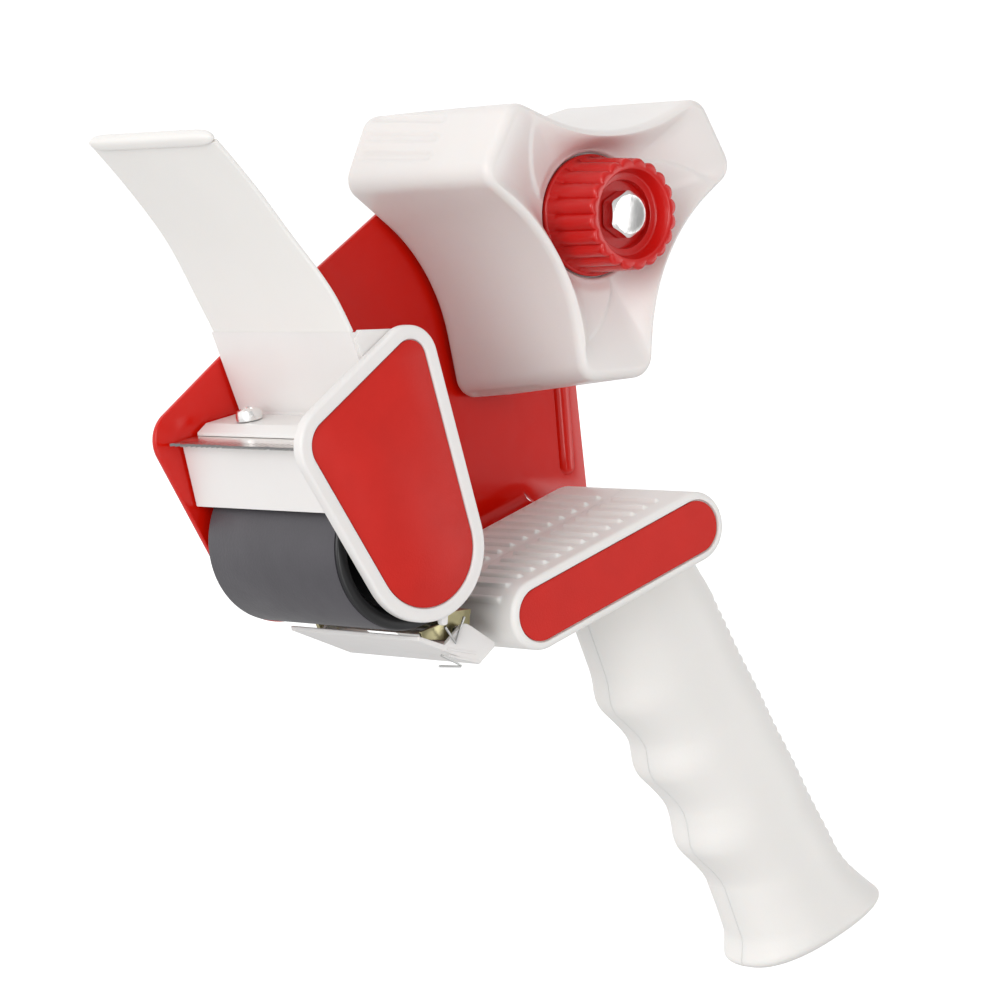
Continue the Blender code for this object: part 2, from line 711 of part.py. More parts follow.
def grip_section(down, shrink, half, tilt=0.0, steps=20):
    """Oval of the grip at a distance below the pad: (x, y, z) around it."""
    front, rear = grip_edges(down)
    middle = (front + rear) / 2.0
    reach = (rear - front) / 2.0 - shrink
    depth = half - shrink
    points = []
    for step in range(steps):
        angle = 2.0 * math.pi * step / steps
        c, s = math.cos(angle), math.sin(angle)
        along = middle - reach * math.copysign(abs(c) ** 0.82, c)
        out = depth * math.copysign(abs(s) ** 0.82, s)
        x, z = pad_place(along, down + tilt * (along - middle))
        points.append((x, PARTING + out, z))
    return points


def grip_form(name, shrink, top, bottom, mat=None, home=None):
    """Solid grip; shrink makes the form of its hollow."""
    levels = [top, 22.0, 34.0, 38.0, 43.0, 47.5, 53.0, 57.5, 62.0, 66.5, 73.0, 79.0, 84.0, 89.0,
              95.0, 103.0, 107.5, bottom - 2.6, bottom - 0.9, bottom]
    if shrink > 0.0:
        levels = [top, 30.0, 44.0, 66.0, 90.0, 104.0, bottom - 1.0, bottom]
    mesh = bmesh.new()
    rows = []
    for down in levels:
        end = smooth((down - 98.0) / 14.0)
        squeeze = shrink + 2.6 * max(0.0, 1.0 - (bottom - down) / 2.6) ** 2
        row = grip_section(down, squeeze, GRIP_HALF + 1.2 * end, -0.03 * end)
        rows.append([mesh.verts.new(spot) for spot in row])
    skin(mesh, rows)
    return add_object(name, mesh, mat, home)


def build_handle_half(name, way, mats):
    """Moulded half: pad half and grip half in one piece, hollow, open at the parting face."""
    form = [(stadium(PAD_R - 0.8), PAD_FAR), (stadium(PAD_R), PAD_FAR - 0.8),
            (stadium(PAD_R), PAD_NEAR + 0.8), (stadium(PAD_R - 0.8), PAD_NEAR)]
    shell = loft(name, form, mats["white"])
    boolean(shell, grip_form(name + "_grip", 0.0, 4.0, GRIP_END, None, CUTTERS), "UNION")
    rib_form(shell, way)
    hollow = stadium(PAD_R - PAD_WALL)
    boolean(shell, prism(name + "_hollow", hollow, PAD_FAR + 3.0, PAD_NEAR + 2.6, None, CUTTERS), "DIFFERENCE")
    boolean(shell, grip_form(name + "_inner", GRIP_WALL, 0.0, GRIP_END - 2.6, None, CUTTERS), "DIFFERENCE")
    side = ring(30.0, -140.0, 130.0, 4, math.pi / 4.0)
    start = PARTING + 0.15 * way
    boolean(shell, prism(name + "_split", side, start, start - 60.0 * way, None, CUTTERS), "DIFFERENCE")
    return shell


def rib_form(shell, way):
    """Low grip ribs across one half of the pad's top."""
    y0, y1 = (-36.2, -52.5) if way < 0 else (-12.0, -31.0)
    section = [(-0.75, -0.4), (-0.45, 0.45), (0.45, 0.45), (0.75, -0.4)]
    up = (-math.sin(PAD_SLOPE), 0.0, math.cos(PAD_SLOPE))
    slope = (math.cos(PAD_SLOPE), 0.0, math.sin(PAD_SLOPE))
    for rib in range(12):
        x, z = pad_place(1.5 + 3.95 * rib, -PAD_R)
        frame = axes_matrix((x, (y0 + y1) / 2.0, z), slope, up)
        form = flat(shell.name + "_rib", section, frame, abs(y1 - y0), None, CUTTERS)
        boolean(shell, form, "UNION")


def build_handle(mats):
    near = build_handle_half("handle_near_shell", -1, mats)
    far = build_handle_half("handle_far_shell", 1, mats)
    recess = [(stadium(PAD_R - 1.75), -57.1), (stadium(PAD_R - 1.75), -60.0)]
    boolean(near, loft("pad_recess", recess, None, CUTTERS), "DIFFERENCE")
    prism("pad_label", stadium(PAD_R - 2.1), -57.35, -57.75, mats["label"])
    for name, down in (("upper", 30.0), ("lower", 98.0)):
        grip_screw(name, down, near, far, mats)
    for name, along in (("front", 10.0), ("rear", 21.0)):
        flange_screw(name, along, far, mats)


def grip_screw(name, down, near, far, mats):
    """Screw through the far half into a post on the near half."""
    front, rear = grip_edges(down)
    x, z = pad_place((front + rear) / 2.0, down)
    post = rod("near_post_" + name, x, z, 3.4, -46.6, PARTING - 0.15, None, CUTTERS, 20)
    boolean(near, post, "UNION")
    boolean(near, rod("near_bore_" + name, x, z, 1.7, -43.0, -30.0, None, CUTTERS, 16), "DIFFERENCE")
    post = rod("far_post_" + name, x, z, 4.6, PARTING + 0.15, -20.2, None, CUTTERS, 20)
    boolean(far, post, "UNION")
    boolean(far, rod("far_bore_" + name, x, z, 1.9, -36.0, -15.0, None, CUTTERS, 16), "DIFFERENCE")
    boolean(far, rod("far_seat_" + name, x, z, 3.3, -22.2, -15.0, None, CUTTERS, 20), "DIFFERENCE")
    shape = [(0.0, -42.0), (1.4, -42.0), (1.4, -22.5 + 0.6), (2.9, -21.9), (2.8, -20.4), (1.5, -19.8), (0.0, -19.8)]
    turned("handle_screw_" + name, x, z, shape, mats["chrome"], None, 16)


def flange_screw(name, along, far, mats):
    """Screw from below through the pad's floor into the plate's bent edge."""
    x, z = pad_place(along, 0.0)
    spot = (x, -21.0, z)
    up = (-math.sin(PAD_SLOPE), math.cos(PAD_SLOPE))
    bore = [(0.0, -12.0), (1.9, -12.0), (1.9, -2.0), (0.0, -2.0)]
    boolean(far, aimed("floor_bore_" + name, spot, up, bore, None, CUTTERS, 16), "DIFFERENCE")
    shape = [(0.0, -10.3), (1.6, -10.3), (3.0, -9.8), (3.1, -8.5), (1.4, -8.5), (1.4, 3.8), (0.0, 3.8)]
    aimed("flange_screw_" + name, spot, up, shape, mats["chrome"], None, 16)


# ---------------------------------------------------------------- tape retainer
def build_retainer(mats):
    """Sprung plate under the roller, its bracket, pin and spring."""
    sheet = [(-58.4, -93.9), (-58.0, -95.1), (-40.6, -101.0), (-39.6, -100.0), (-40.2, -99.6)]
    flap = prism("retainer_flap", sheet, -3.4, -52.2, mats["white"])
    ear = rounded([(-50.6, -96.9, 0.0), (-47.6, -91.4, 1.2), (-44.4, -90.8, 2.0),
                   (-36.4, -97.0, 0.6), (-40.2, -100.4, 0.0)], 3)
    for name, y0, y1 in (("ear_near", -51.0, -52.2), ("ear_far", -3.4, -4.6)):
        boolean(flap, prism(name, ear, y0, y1, None, CUTTERS), "UNION")
    boolean(flap, rod("flap_bore", PIN_X, PIN_Z, 1.5, -1.0, -51.7, None, CUTTERS, 18), "DIFFERENCE")
    set_origin(flap, PIN_X, FLAP_MID, PIN_Z)
    pin = [(0.0, -51.4), (1.2, -51.4), (1.2, -2.2), (0.0, -2.2)]
    turned("retainer_pin", PIN_X, PIN_Z, pin, mats["steel"], None, 18)
    build_bracket(mats)
    build_retainer_spring(mats)


def build_bracket(mats):
    top = [(-50.2, -90.3), (-49.4, -89.3), (-41.4, -88.8), (-41.4, -89.9)]
    body = prism("retainer_bracket", top, -0.4, -49.4, mats["brassy"])
    ear = rounded([(-50.0, -90.1, 0.0), (-41.5, -89.2, 0.0), (-42.0, -96.0, 2.5), (-48.6, -96.4, 2.5)], 3)
    foot = rounded([(-50.0, -90.1, 0.0), (-48.6, -83.6, 2.0), (-42.2, -83.2, 2.0), (-41.5, -89.2, 0.0),
                    (-42.0, -96.0, 2.5), (-48.6, -96.4, 2.5)], 3)
    boolean(body, prism("bracket_near", ear, -48.2, -49.4, None, CUTTERS), "UNION")
    boolean(body, prism("bracket_far", foot, -0.4, -1.6, None, CUTTERS), "UNION")
    boolean(body, rod("bracket_bore", PIN_X, PIN_Z, 1.5, -2.5, -56.0, None, CUTTERS, 18), "DIFFERENCE")
    boolean(body, rod("bracket_hole", -45.5, -86.2, 1.7, 2.0, -2.4, None, CUTTERS, 18), "DIFFERENCE")
    rivet = [(0.0, -2.9), (2.4, -2.4), (2.6, -1.9), (1.4, -1.9), (1.4, 1.8), (2.6, 1.8), (2.2, 2.7), (0.0, 3.0)]
    turned("bracket_rivet", -45.5, -86.2, rivet, mats["steel"], None, 18)
    return body


def build_retainer_spring(mats):
    points = [(-49.8, -41.0, -91.3)]
    per, turns = 12, 5
    for step in range(per * turns + 1):
        angle = math.radians(130.0) - 2.0 * math.pi * step / per
        y = -41.0 - 5.2 * step / (per * turns)
        points.append((PIN_X + 2.0 * math.cos(angle), y, PIN_Z + 2.0 * math.sin(angle)))
    points.append((-48.6, -46.6, -95.2))
    wire("retainer_spring", points, 0.35, mats["steel"])


# ---------------------------------------------------------------- build
def build_all():
    mats = {
        "red_metal": material("red_enamel", RED_METAL, 0.25),
        "label": material("red_label", RED_LABEL, 0.5),
        "knob": material("red_plastic", RED_KNOB, 0.22),
        "white": material("white_plastic", WHITE, 0.4),
        "rubber": material("dark_rubber", RUBBER, 0.55),
        "black": material("black_plastic", BLACK, 0.45),
        "steel": material("steel", STEEL, 0.35, 1.0),
        "chrome": material("bright_steel", STEEL, 0.15, 1.0),
        "brassy": material("plated_steel", BRASSY, 0.35, 1.0),
    }
    build_plate(mats)
    build_housing(mats)
    build_clamp(mats)
    build_blade(mats)
    build_clamp_screws(mats)
    build_cap(mats)
    build_housing_screws(mats)
    build_flap(mats)
    build_roller(mats)
    build_hub(mats)
    build_tension(mats)
    build_handle(mats)
    build_retainer(mats)


clear_scene()
PARTS = new_collection("tape_dispenser")
CUTTERS = new_collection("cutters")
build_all()
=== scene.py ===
"""Looks of the packing-tape hand dispenser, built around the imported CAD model.

Places are design millimetres from the tape hub's axle at the side plate's near face: X runs
towards the grip, Y away from the open side, Z up. place() turns them into metres in the
frame, from the hub's joint and the front housing's box.
"""
import json
import math

import bmesh
import bpy
import numpy as np
from mathutils import Matrix, Vector


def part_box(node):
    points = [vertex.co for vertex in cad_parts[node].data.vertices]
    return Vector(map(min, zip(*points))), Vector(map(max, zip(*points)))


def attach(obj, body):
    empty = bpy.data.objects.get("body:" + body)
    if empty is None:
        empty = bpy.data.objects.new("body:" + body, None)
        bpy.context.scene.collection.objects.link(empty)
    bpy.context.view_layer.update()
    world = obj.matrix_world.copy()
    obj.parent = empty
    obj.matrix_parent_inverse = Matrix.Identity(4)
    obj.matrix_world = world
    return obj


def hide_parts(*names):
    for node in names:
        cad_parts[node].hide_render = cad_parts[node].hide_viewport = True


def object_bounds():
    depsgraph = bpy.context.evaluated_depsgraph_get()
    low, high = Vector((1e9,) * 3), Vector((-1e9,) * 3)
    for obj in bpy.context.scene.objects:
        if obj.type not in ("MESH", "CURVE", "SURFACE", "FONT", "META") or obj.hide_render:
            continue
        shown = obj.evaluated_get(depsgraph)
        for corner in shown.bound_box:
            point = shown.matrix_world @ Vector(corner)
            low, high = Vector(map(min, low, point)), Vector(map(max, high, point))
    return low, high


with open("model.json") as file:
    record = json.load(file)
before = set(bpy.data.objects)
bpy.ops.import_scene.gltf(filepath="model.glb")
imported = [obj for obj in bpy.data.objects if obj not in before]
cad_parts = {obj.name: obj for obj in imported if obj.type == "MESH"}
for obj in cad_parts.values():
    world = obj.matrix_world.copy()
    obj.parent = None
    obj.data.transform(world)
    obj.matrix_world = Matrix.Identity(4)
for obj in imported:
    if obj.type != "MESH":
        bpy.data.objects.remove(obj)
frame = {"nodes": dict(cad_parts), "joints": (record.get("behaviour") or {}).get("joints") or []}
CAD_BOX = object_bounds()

MM = 0.001
WELD = 0.004 * MM
PLATE_T = 1.5
HOUSING_GAP = 0.4  # between the front housing and the plate
JOINTS = {joint["name"]: joint for joint in frame["joints"]}
HUB_AXIS = JOINTS["hub_spin"]["pos_m"]
ROLLER_AXIS = JOINTS["roller_spin"]["pos_m"]
PIN_AXIS = JOINTS["retainer_hinge"]["pos_m"]
FLAP_AXIS = JOINTS["flap_flex"]["pos_m"]
ORIGIN = np.array((HUB_AXIS[0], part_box("front_housing")[1].y + HOUSING_GAP * MM, HUB_AXIS[2]))


def design(point):
    """Frame metres to design millimetres (x, z)."""
    return (point[0] - ORIGIN[0]) / MM, (point[2] - ORIGIN[2]) / MM


ROLLER_X, ROLLER_Z = design(ROLLER_AXIS)
PIN_X, PIN_Z = design(PIN_AXIS)
FLAP_X, FLAP_Z = design(FLAP_AXIS)

# ---------------------------------------------------------------- design sizes, mm
ROLLER_R = 18.9
ROLLER_FAR, ROLLER_NEAR = -2.9, -52.6
HUB_FAR, HUB_NEAR = -1.6, -50.0
HUB_FACE, HUB_SEAT = -43.0, -40.7
HUB_RIM, HUB_WALL = 2.6, 2.6
HUB_SIDE = HUB_NEAR + HUB_RIM  # where the hub's outer wall starts
CREASE_TURN = 32.0
SEAT_R, POCKET_R, POCKET_Y = 14.6, 10.2, -26.0
BORE_R = 5.3
BOLT_R = 3.0
KNOB_BACK, KNOB_RIM = -41.4, -58.0
PAD_X, PAD_Z = -27.8, -90.2
PAD_SLOPE = math.radians(21.3)
PAD_LENGTH, PAD_R = 49.6, 8.2
PAD_FAR, PAD_NEAR = -9.0, -58.0
PARTING = -33.5
GRIP_HALF = 14.5
GRIP_END = 113.28
GRIP_REAR, GRIP_TOP = 62.04, 21.0
FINGER_STEPS = (39.1, 58.6, 80.5)
GRIP_SCREWS = (30.0, 98.0)
WALL_SCREWS = ((-66.5, -36.0), (-79.0, -57.5))
CAP_CIRCLES = ((-64.0, -32.3, 7.6), (-84.9, -50.7, 9.2), (-60.1, -74.2, 16.4))
CAP_FAR, CAP_NEAR = -55.0, -58.0
CAP_CENTRE = (-68.0, -56.0)
LABEL_INSET = 3.3
FLAP_RISE, FLAP_MID = 41.2, -27.3
LIP_FALL = 0.204  # how much the blade's shelf falls towards the front
LIP_SLOPE = math.atan(LIP_FALL)
LIP_ALONG = np.array((math.cos(LIP_SLOPE), 0.0, math.sin(LIP_SLOPE)))
LIP_UP = np.array((-math.sin(LIP_SLOPE), 0.0, math.cos(LIP_SLOPE)))

PARTS = bpy.data.collections.new("looks")
bpy.context.scene.collection.children.link(PARTS)


# ---------------------------------------------------------------- small helpers
def place(points):
    """Design millimetres to metres in the frame, for one point or an array of them."""
    return np.asarray(points, float) * MM + ORIGIN


def pad_place(along, down):
    """Pad frame (along its slope, below its mid-line) to design x, z."""
    c, s = math.cos(PAD_SLOPE), math.sin(PAD_SLOPE)
    return PAD_X + along * c + down * s, PAD_Z + along * s - down * c


def smooth(value):
    t = np.clip(value, 0.0, 1.0)
    return t * t * (3.0 - 2.0 * t)


def add_piece(name, bm, mesh=None):
    """New object from a bmesh, which is freed."""
    mesh = mesh or bpy.data.meshes.new(name)
    bm.to_mesh(mesh)
    bm.free()
    obj = bpy.data.objects.new(name, mesh)
    PARTS.objects.link(obj)
    return obj


def finish_mesh(name, verts, faces, mat, body, sharp):
    """Object from metres, welded and facing out, riding on a body."""
    mesh = bpy.data.meshes.new(name)
    mesh.from_pydata(np.asarray(verts).tolist(), [], faces)
    bm = bmesh.new()
    bm.from_mesh(mesh)
    bmesh.ops.remove_doubles(bm, verts=bm.verts, dist=WELD)
    bmesh.ops.recalc_face_normals(bm, faces=bm.faces)
    if bm.calc_volume(signed=True) < 0.0:
        bmesh.ops.reverse_faces(bm, faces=bm.faces)
    return dress(add_piece(name, bm, mesh), mat, body, sharp)


def dress(obj, mat, body, sharp=38.0):
    """Smooth shading with sharp edges past an angle, a finish and a body, where given."""
    obj.data.shade_smooth()
    obj.data.set_sharp_from_angle(angle=math.radians(sharp))
    obj.data.materials.clear()
    if mat is not None:
        obj.data.materials.append(mat)
    if body is not None:
        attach(obj, body)
    return obj


def stands_for(obj, slot, *nodes):
    """The piece takes the place of CAD nodes, which are hidden; slot is not used."""
    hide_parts(*nodes)


def loft(name, rows, mat, body, closed=False, sharp=38.0):
    """Skin through rings of design points with equal counts; closed joins last to first."""
    rows = np.asarray(rows, float)
    count, around = rows.shape[:2]
    index = np.arange(count * around).reshape(count, around)
    low = index if closed else index[:-1]
    high = np.roll(index, -1, axis=0) if closed else index[1:]
    quads = np.stack([low, np.roll(low, -1, 1), np.roll(high, -1, 1), high], -1)
    faces = [tuple(quad) for quad in quads.reshape(-1, 4).tolist()]
    if not closed:
        faces.append(tuple(index[0].tolist()))
        faces.append(tuple(index[-1].tolist()))
    return finish_mesh(name, place(rows.reshape(-1, 3)), faces, mat, body, sharp)


def ring_at(radii, angles, y, x=0.0, z=0.0):
    """Ring of points about an axis along Y."""
    radii = np.broadcast_to(radii, angles.shape)
    ys = np.broadcast_to(y, angles.shape)
    return np.stack([x + radii * np.cos(angles), ys, z + radii * np.sin(angles)], -1)


def circle_angles(steps):
    return np.arange(steps) * 2.0 * math.pi / steps


def turned(name, x, z, profile, mat, body, steps=96, closed=False, sharp=38.0):
    """Profile of (radius, y) turned about an axis along Y."""
    angles = circle_angles(steps)
    rows = [ring_at(radius, angles, y, x, z) for radius, y in profile]
    return loft(name, rows, mat, body, closed, sharp)


def arc(r0, y0, r1, y1, steps=5):
    """Quarter-round profile between two points of (radius, y), bulging outwards."""
    points = []
    for step in range(steps + 1):
        angle = math.pi / 2.0 * step / steps
        points.append((r0 + (r1 - r0) * math.sin(angle), y0 + (y1 - y0) * (1.0 - math.cos(angle))))
    return points


def rounded(corners, steps=10):
    """Polygon with each corner (x, z, radius) replaced by an arc."""
    points = []
    count = len(corners)
    for index, (x, z, radius) in enumerate(corners):
        here = Vector((x, z))
        before = (Vector(corners[index - 1][:2]) - here).normalized()
        after = (Vector(corners[(index + 1) % count][:2]) - here).normalized()
        if radius <= 0.0:
            points.append((x, z))
            continue
        half = before.angle(after) / 2.0
        centre = here + (before + after).normalized() * (radius / math.sin(half))
        start = here + before * (radius / math.tan(half)) - centre
        end = here + after * (radius / math.tan(half)) - centre
        turn = start.angle_signed(end)
        for step in range(steps + 1):
            angle = -turn * step / steps
            c, s = math.cos(angle), math.sin(angle)
            points.append((centre.x + start.x * c - start.y * s, centre.y + start.x * s + start.y * c))
    return points


def cross(a, b, c):
    return (b[0] - a[0]) * (c[1] - a[1]) - (b[1] - a[1]) * (c[0] - a[0])


def hull(circles, steps=72):
    """Outline of the tightest belt around circles (x, z, radius)."""
    points = set()
    for x, z, radius in circles:
        for angle in circle_angles(steps):
            points.add((x + radius * math.cos(angle), z + radius * math.sin(angle)))

    def chain(ordered):
        out = []
        for point in ordered:
            while len(out) > 1 and cross(out[-2], out[-1], point) <= 1e-9:
                out.pop()
            out.append(point)
        return out[:-1]

    ordered = sorted(points)
    return chain(ordered) + chain(ordered[::-1])


def polar(outline, centre, angles):
    """Distance from a centre to a star-shaped outline at each angle."""
    pts = np.asarray(outline, float) - np.asarray(centre)
    turn = np.arctan2(pts[:, 1], pts[:, 0]) % (2.0 * math.pi)
    order = np.argsort(turn)
    turn, pts = turn[order], pts[order]
    after = np.roll(np.arange(len(pts)), -1)
    slot = (np.searchsorted(turn, angles % (2.0 * math.pi), side="right") - 1) % len(pts)
    a, b = pts[slot], pts[after[slot]]
    way = np.stack([np.cos(angles), np.sin(angles)], -1)
    side = b - a
    top = a[:, 0] * side[:, 1] - a[:, 1] * side[:, 0]
    low = way[:, 0] * side[:, 1] - way[:, 1] * side[:, 0]
    return top / low


def prism(low, high):
    """Bmesh between two outlines of design points, with its two end faces."""
    bm = bmesh.new()
    low = [bm.verts.new(place(spot)) for spot in low]
    high = [bm.verts.new(place(spot)) for spot in high]
    ends = [bm.faces.new(low), bm.faces.new(high)]
    for i in range(len(low)):
        j = (i + 1) % len(low)
        bm.faces.new((low[i], low[j], high[j], high[i]))
    return bm, ends


def slab(name, outline, y0, y1, edge, mat, body, sharp=38.0):
    """Outline in x, z with thickness along Y and rounded rims."""
    bm, ends = prism([(x, y0, z) for x, z in outline], [(x, y1, z) for x, z in outline])
    bmesh.ops.recalc_face_normals(bm, faces=bm.faces)
    if edge > 0.0:
        edges = [e for face in ends for e in face.edges]
        bmesh.ops.bevel(bm, geom=edges, offset=edge * MM, segments=3, profile=0.5,
                        affect="EDGES", clamp_overlap=True)
    return dress(add_piece(name, bm), mat, body, sharp)


def cut(obj, tool, operation="DIFFERENCE"):
    """Boolean between two new pieces, applied; the tool is removed."""
    mod = obj.modifiers.new("cut", "BOOLEAN")
    mod.operation = operation
    mod.solver = "EXACT"
    mod.object = tool
    bpy.context.view_layer.update()
    graph = bpy.context.evaluated_depsgraph_get()
    mesh = bpy.data.meshes.new_from_object(obj.evaluated_get(graph))
    obj.modifiers.clear()
    obj.data = mesh
    bpy.data.objects.remove(tool, do_unlink=True)


def tube(name, points, radius, mat, body):
    """Round wire along design points."""
    curve = bpy.data.curves.new(name, "CURVE")
    curve.dimensions = "3D"
    curve.bevel_depth = radius * MM
    curve.bevel_resolution = 4
    curve.use_fill_caps = True
    spline = curve.splines.new("POLY")
    spline.points.add(len(points) - 1)
    for item, spot in zip(spline.points, place(points)):
        item.co = (*spot, 1.0)
    obj = bpy.data.objects.new(name, curve)
    PARTS.objects.link(obj)
    curve.materials.append(mat)
    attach(obj, body)
    return obj


# ---------------------------------------------------------------- materials
def tinted(color, share):
    """Colour with alpha, made darker or lighter by a share."""
    return tuple(min(1.0, channel * share) for channel in color) + (1.0,)


def noise_source(tree, stretch):
    """Maker of noise outputs that share one stretched object mapping."""
    coords = tree.nodes.new("ShaderNodeTexCoord")
    mapping = tree.nodes.new("ShaderNodeMapping")
    mapping.inputs["Scale"].default_value = stretch
    tree.links.new(coords.outputs["Object"], mapping.inputs["Vector"])

    def noise(scale, detail):
        node = tree.nodes.new("ShaderNodeTexNoise")
        node.inputs["Scale"].default_value = scale
        node.inputs["Detail"].default_value = detail
        tree.links.new(mapping.outputs["Vector"], node.inputs["Vector"])
        return node.outputs["Fac"]

    return noise


def material(name, color, rough, metal=0.0, vary=0.05, cloud=60.0, grain=900.0, relief=0.06,
             rough_vary=0.06, stretch=(1.0, 1.0, 1.0), specular=0.5, milky=0.0):
    """Procedural finish: cloudy tone, uneven gloss and a fine surface relief."""
    mat = bpy.data.materials.new(name)
    mat.use_nodes = True
    tree = mat.node_tree
    shader = tree.nodes["Principled BSDF"]
    noise = noise_source(tree, stretch)
    ramp = tree.nodes.new("ShaderNodeValToRGB")
    for element, position, share in zip(ramp.color_ramp.elements, (0.3, 0.7), (-vary, vary)):
        element.position = position
        element.color = tinted(color, 1.0 + share)
    tree.links.new(noise(cloud, 4.0), ramp.inputs["Fac"])
    tree.links.new(ramp.outputs["Color"], shader.inputs["Base Color"])
    spread = tree.nodes.new("ShaderNodeMapRange")
    spread.inputs["To Min"].default_value = max(0.02, rough - rough_vary)
    spread.inputs["To Max"].default_value = rough + rough_vary
    tree.links.new(noise(cloud * 2.3, 3.0), spread.inputs["Value"])
    tree.links.new(spread.outputs["Result"], shader.inputs["Roughness"])
    height = tree.nodes.new("ShaderNodeBump")
    height.inputs["Strength"].default_value = relief
    height.inputs["Distance"].default_value = 0.0004
    tree.links.new(noise(grain, 2.0), height.inputs["Height"])
    tree.links.new(height.outputs["Normal"], shader.inputs["Normal"])
    shader.inputs["Metallic"].default_value = metal
    shader.inputs["Specular IOR Level"].default_value = specular
    if milky > 0.0:
        shader.inputs["Subsurface Weight"].default_value = milky
        shader.inputs["Subsurface Radius"].default_value = (1.0, 0.75, 0.6)
        shader.inputs["Subsurface Scale"].default_value = 0.003
    return mat


ENAMEL = material("red_enamel", (0.60, 0.006, 0.001), 0.15, vary=0.05, cloud=25.0, grain=350.0,
                  relief=0.05, rough_vary=0.04, specular=0.35)
LABEL = material("red_label", (0.55, 0.016, 0.010), 0.45, vary=0.035, cloud=120.0, grain=2600.0,
                 relief=0.12, specular=0.22)
KNOB_RED = material("red_plastic", (0.56, 0.008, 0.006), 0.22, vary=0.05, cloud=90.0,
                    grain=700.0, relief=0.05, specular=0.5)
HUB_WHITE = material("milky_plastic", (0.80, 0.765, 0.745), 0.34, vary=0.015, cloud=35.0,
                     grain=500.0, relief=0.05, specular=0.45, milky=0.25)
WHITE = material("white_plastic", (0.79, 0.765, 0.75), 0.36, vary=0.015, cloud=45.0,
                 grain=700.0, relief=0.06, specular=0.45, milky=0.12)
GRIP_WHITE = material("grip_plastic", (0.82, 0.80, 0.775), 0.42, vary=0.02, cloud=30.0,
                      grain=900.0, relief=0.10, specular=0.4, milky=0.2)
FILM = material("white_film", (0.82, 0.80, 0.775), 0.40, vary=0.012, cloud=30.0, grain=600.0,
                relief=0.05, specular=0.4, milky=0.1)
RUBBER = material("dark_rubber", (0.068, 0.064, 0.073), 0.48, vary=0.08, cloud=80.0,
                  grain=1500.0, relief=0.15, rough_vary=0.08)
BLACK = material("black_plastic", (0.012, 0.012, 0.013), 0.35, vary=0.1, grain=900.0)
STEEL = material("zinc_steel", (0.60, 0.60, 0.59), 0.34, metal=1.0, vary=0.08, cloud=150.0,
                 grain=1200.0, relief=0.08, rough_vary=0.1)
BLADE = material("blade_steel", (0.84, 0.82, 0.80), 0.24, metal=1.0, vary=0.05, cloud=90.0,
                 grain=500.0, relief=0.05, stretch=(8.0, 1.0, 8.0))
# darker steel for the blade's cut edges: painted shade, standing in for the dark slits between the teeth
SHADED_BLADE_EDGE = material("blade_edge_painted_shade", (0.20, 0.20, 0.20), 0.38, metal=1.0, vary=0.08, cloud=90.0,
                      grain=500.0, relief=0.05)
BRIGHT = material("bright_steel", (0.88, 0.87, 0.86), 0.24, metal=1.0, vary=0.05, cloud=250.0,
                  grain=900.0, relief=0.08, rough_vary=0.05)
BRASSY = material("plated_steel", (0.42, 0.38, 0.22), 0.30, metal=1.0, vary=0.12, cloud=120.0,
                  grain=800.0, relief=0.06)


# ---------------------------------------------------------------- tape hub
# each lobe: middle angle and its twist, reach and its growth towards the plate
LOBES = ((30.9, 0.7, 39.3, -0.1), (152.5, 5.0, 38.9, 3.0), (273.0, -0.4, 39.4, 3.9))
LOBE_TRIM = 0.05  # keeps the finer curve inside the CAD model's box


def lobe_outline(share, inset):
    """Three-lobed section: share 0 at the near end, 1 at the far end."""
    corners = []
    spread = 15.0 - 2.3 * share
    dip = 16.0 + 3.0 * share - inset
    for middle, twist, reach, growth in LOBES:
        middle += twist * share
        tip = reach - LOBE_TRIM + growth * share
        for turn in (-spread, spread):
            angle = math.radians(middle + turn * (1.0 - 0.35 * inset / tip))
            radius = tip - inset
            corners.append((radius * math.cos(angle), radius * math.sin(angle), 5.0 - inset * 0.6))
        angle = math.radians(middle + 60.0)
        corners.append((dip * math.cos(angle), dip * math.sin(angle), 45.0 + inset))
    return rounded(corners, 24)


def hub_radius(share, inset, angles):
    """The section's radius at each angle."""
    return polar(lobe_outline(share, inset), (0.0, 0.0), angles)


def swirl(radius, angles):
    """Three low ramps around the knob, each ending in a crease across its lobe."""
    crease = 13.0 - 2.2 * (np.clip(radius, 16.0, 33.0) - 18.0)
    phase = (np.degrees(angles) - CREASE_TURN - crease) % 120.0
    rise = smooth((phase - 45.0) / 70.0) * smooth((120.0 - phase) / 3.0)
    return rise * smooth((radius - 15.0) / 3.0)


def lobe_ribs(angles, y):
    """Shallow grooves along the axle on each lobe's outer face, over its far half."""
    out = np.zeros_like(angles)
    middle_share, face_radius, depth = 0.7, 39.0, 0.6
    for middle, twist, _reach, _growth in LOBES:
        off = (np.degrees(angles) - middle - twist * middle_share + 180.0) % 360.0 - 180.0
        across = face_radius * np.tan(np.radians(np.clip(off, -40.0, 40.0)))
        for spot in (-7.0, -2.2, 2.6):
            out += smooth((1.25 - np.abs(across - spot)) / 0.7)
    return -depth * out * smooth((y + 30.0) / 1.4) * smooth((-4.0 - y) / 1.4)


def hub_face(angles):
    """Dished near face with its swirl, out over the rounded rim, as (radius, y)."""
    stops = []
    rim, edge = hub_radius(0.0, HUB_WALL, angles), hub_radius(0.0, 0.0, angles)
    inner, steps, swirl_height = SEAT_R + 0.4, 44, 1.1
    for step in range(steps + 1):
        share = step / steps
        radius = inner + (rim - inner) * share
        rise = 0.45 * share + 0.55 * smooth(share)
        lift = swirl_height * swirl(radius, angles) * (1.0 - 0.75 * rise)
        stops.append((radius, HUB_FACE + (HUB_NEAR - HUB_FACE) * rise - lift))
    for step in range(1, 9):
        turn = math.pi / 2.0 * step / 8
        stops.append((rim + (edge - rim) * math.sin(turn), HUB_NEAR + HUB_RIM * (1.0 - math.cos(turn))))
    return stops


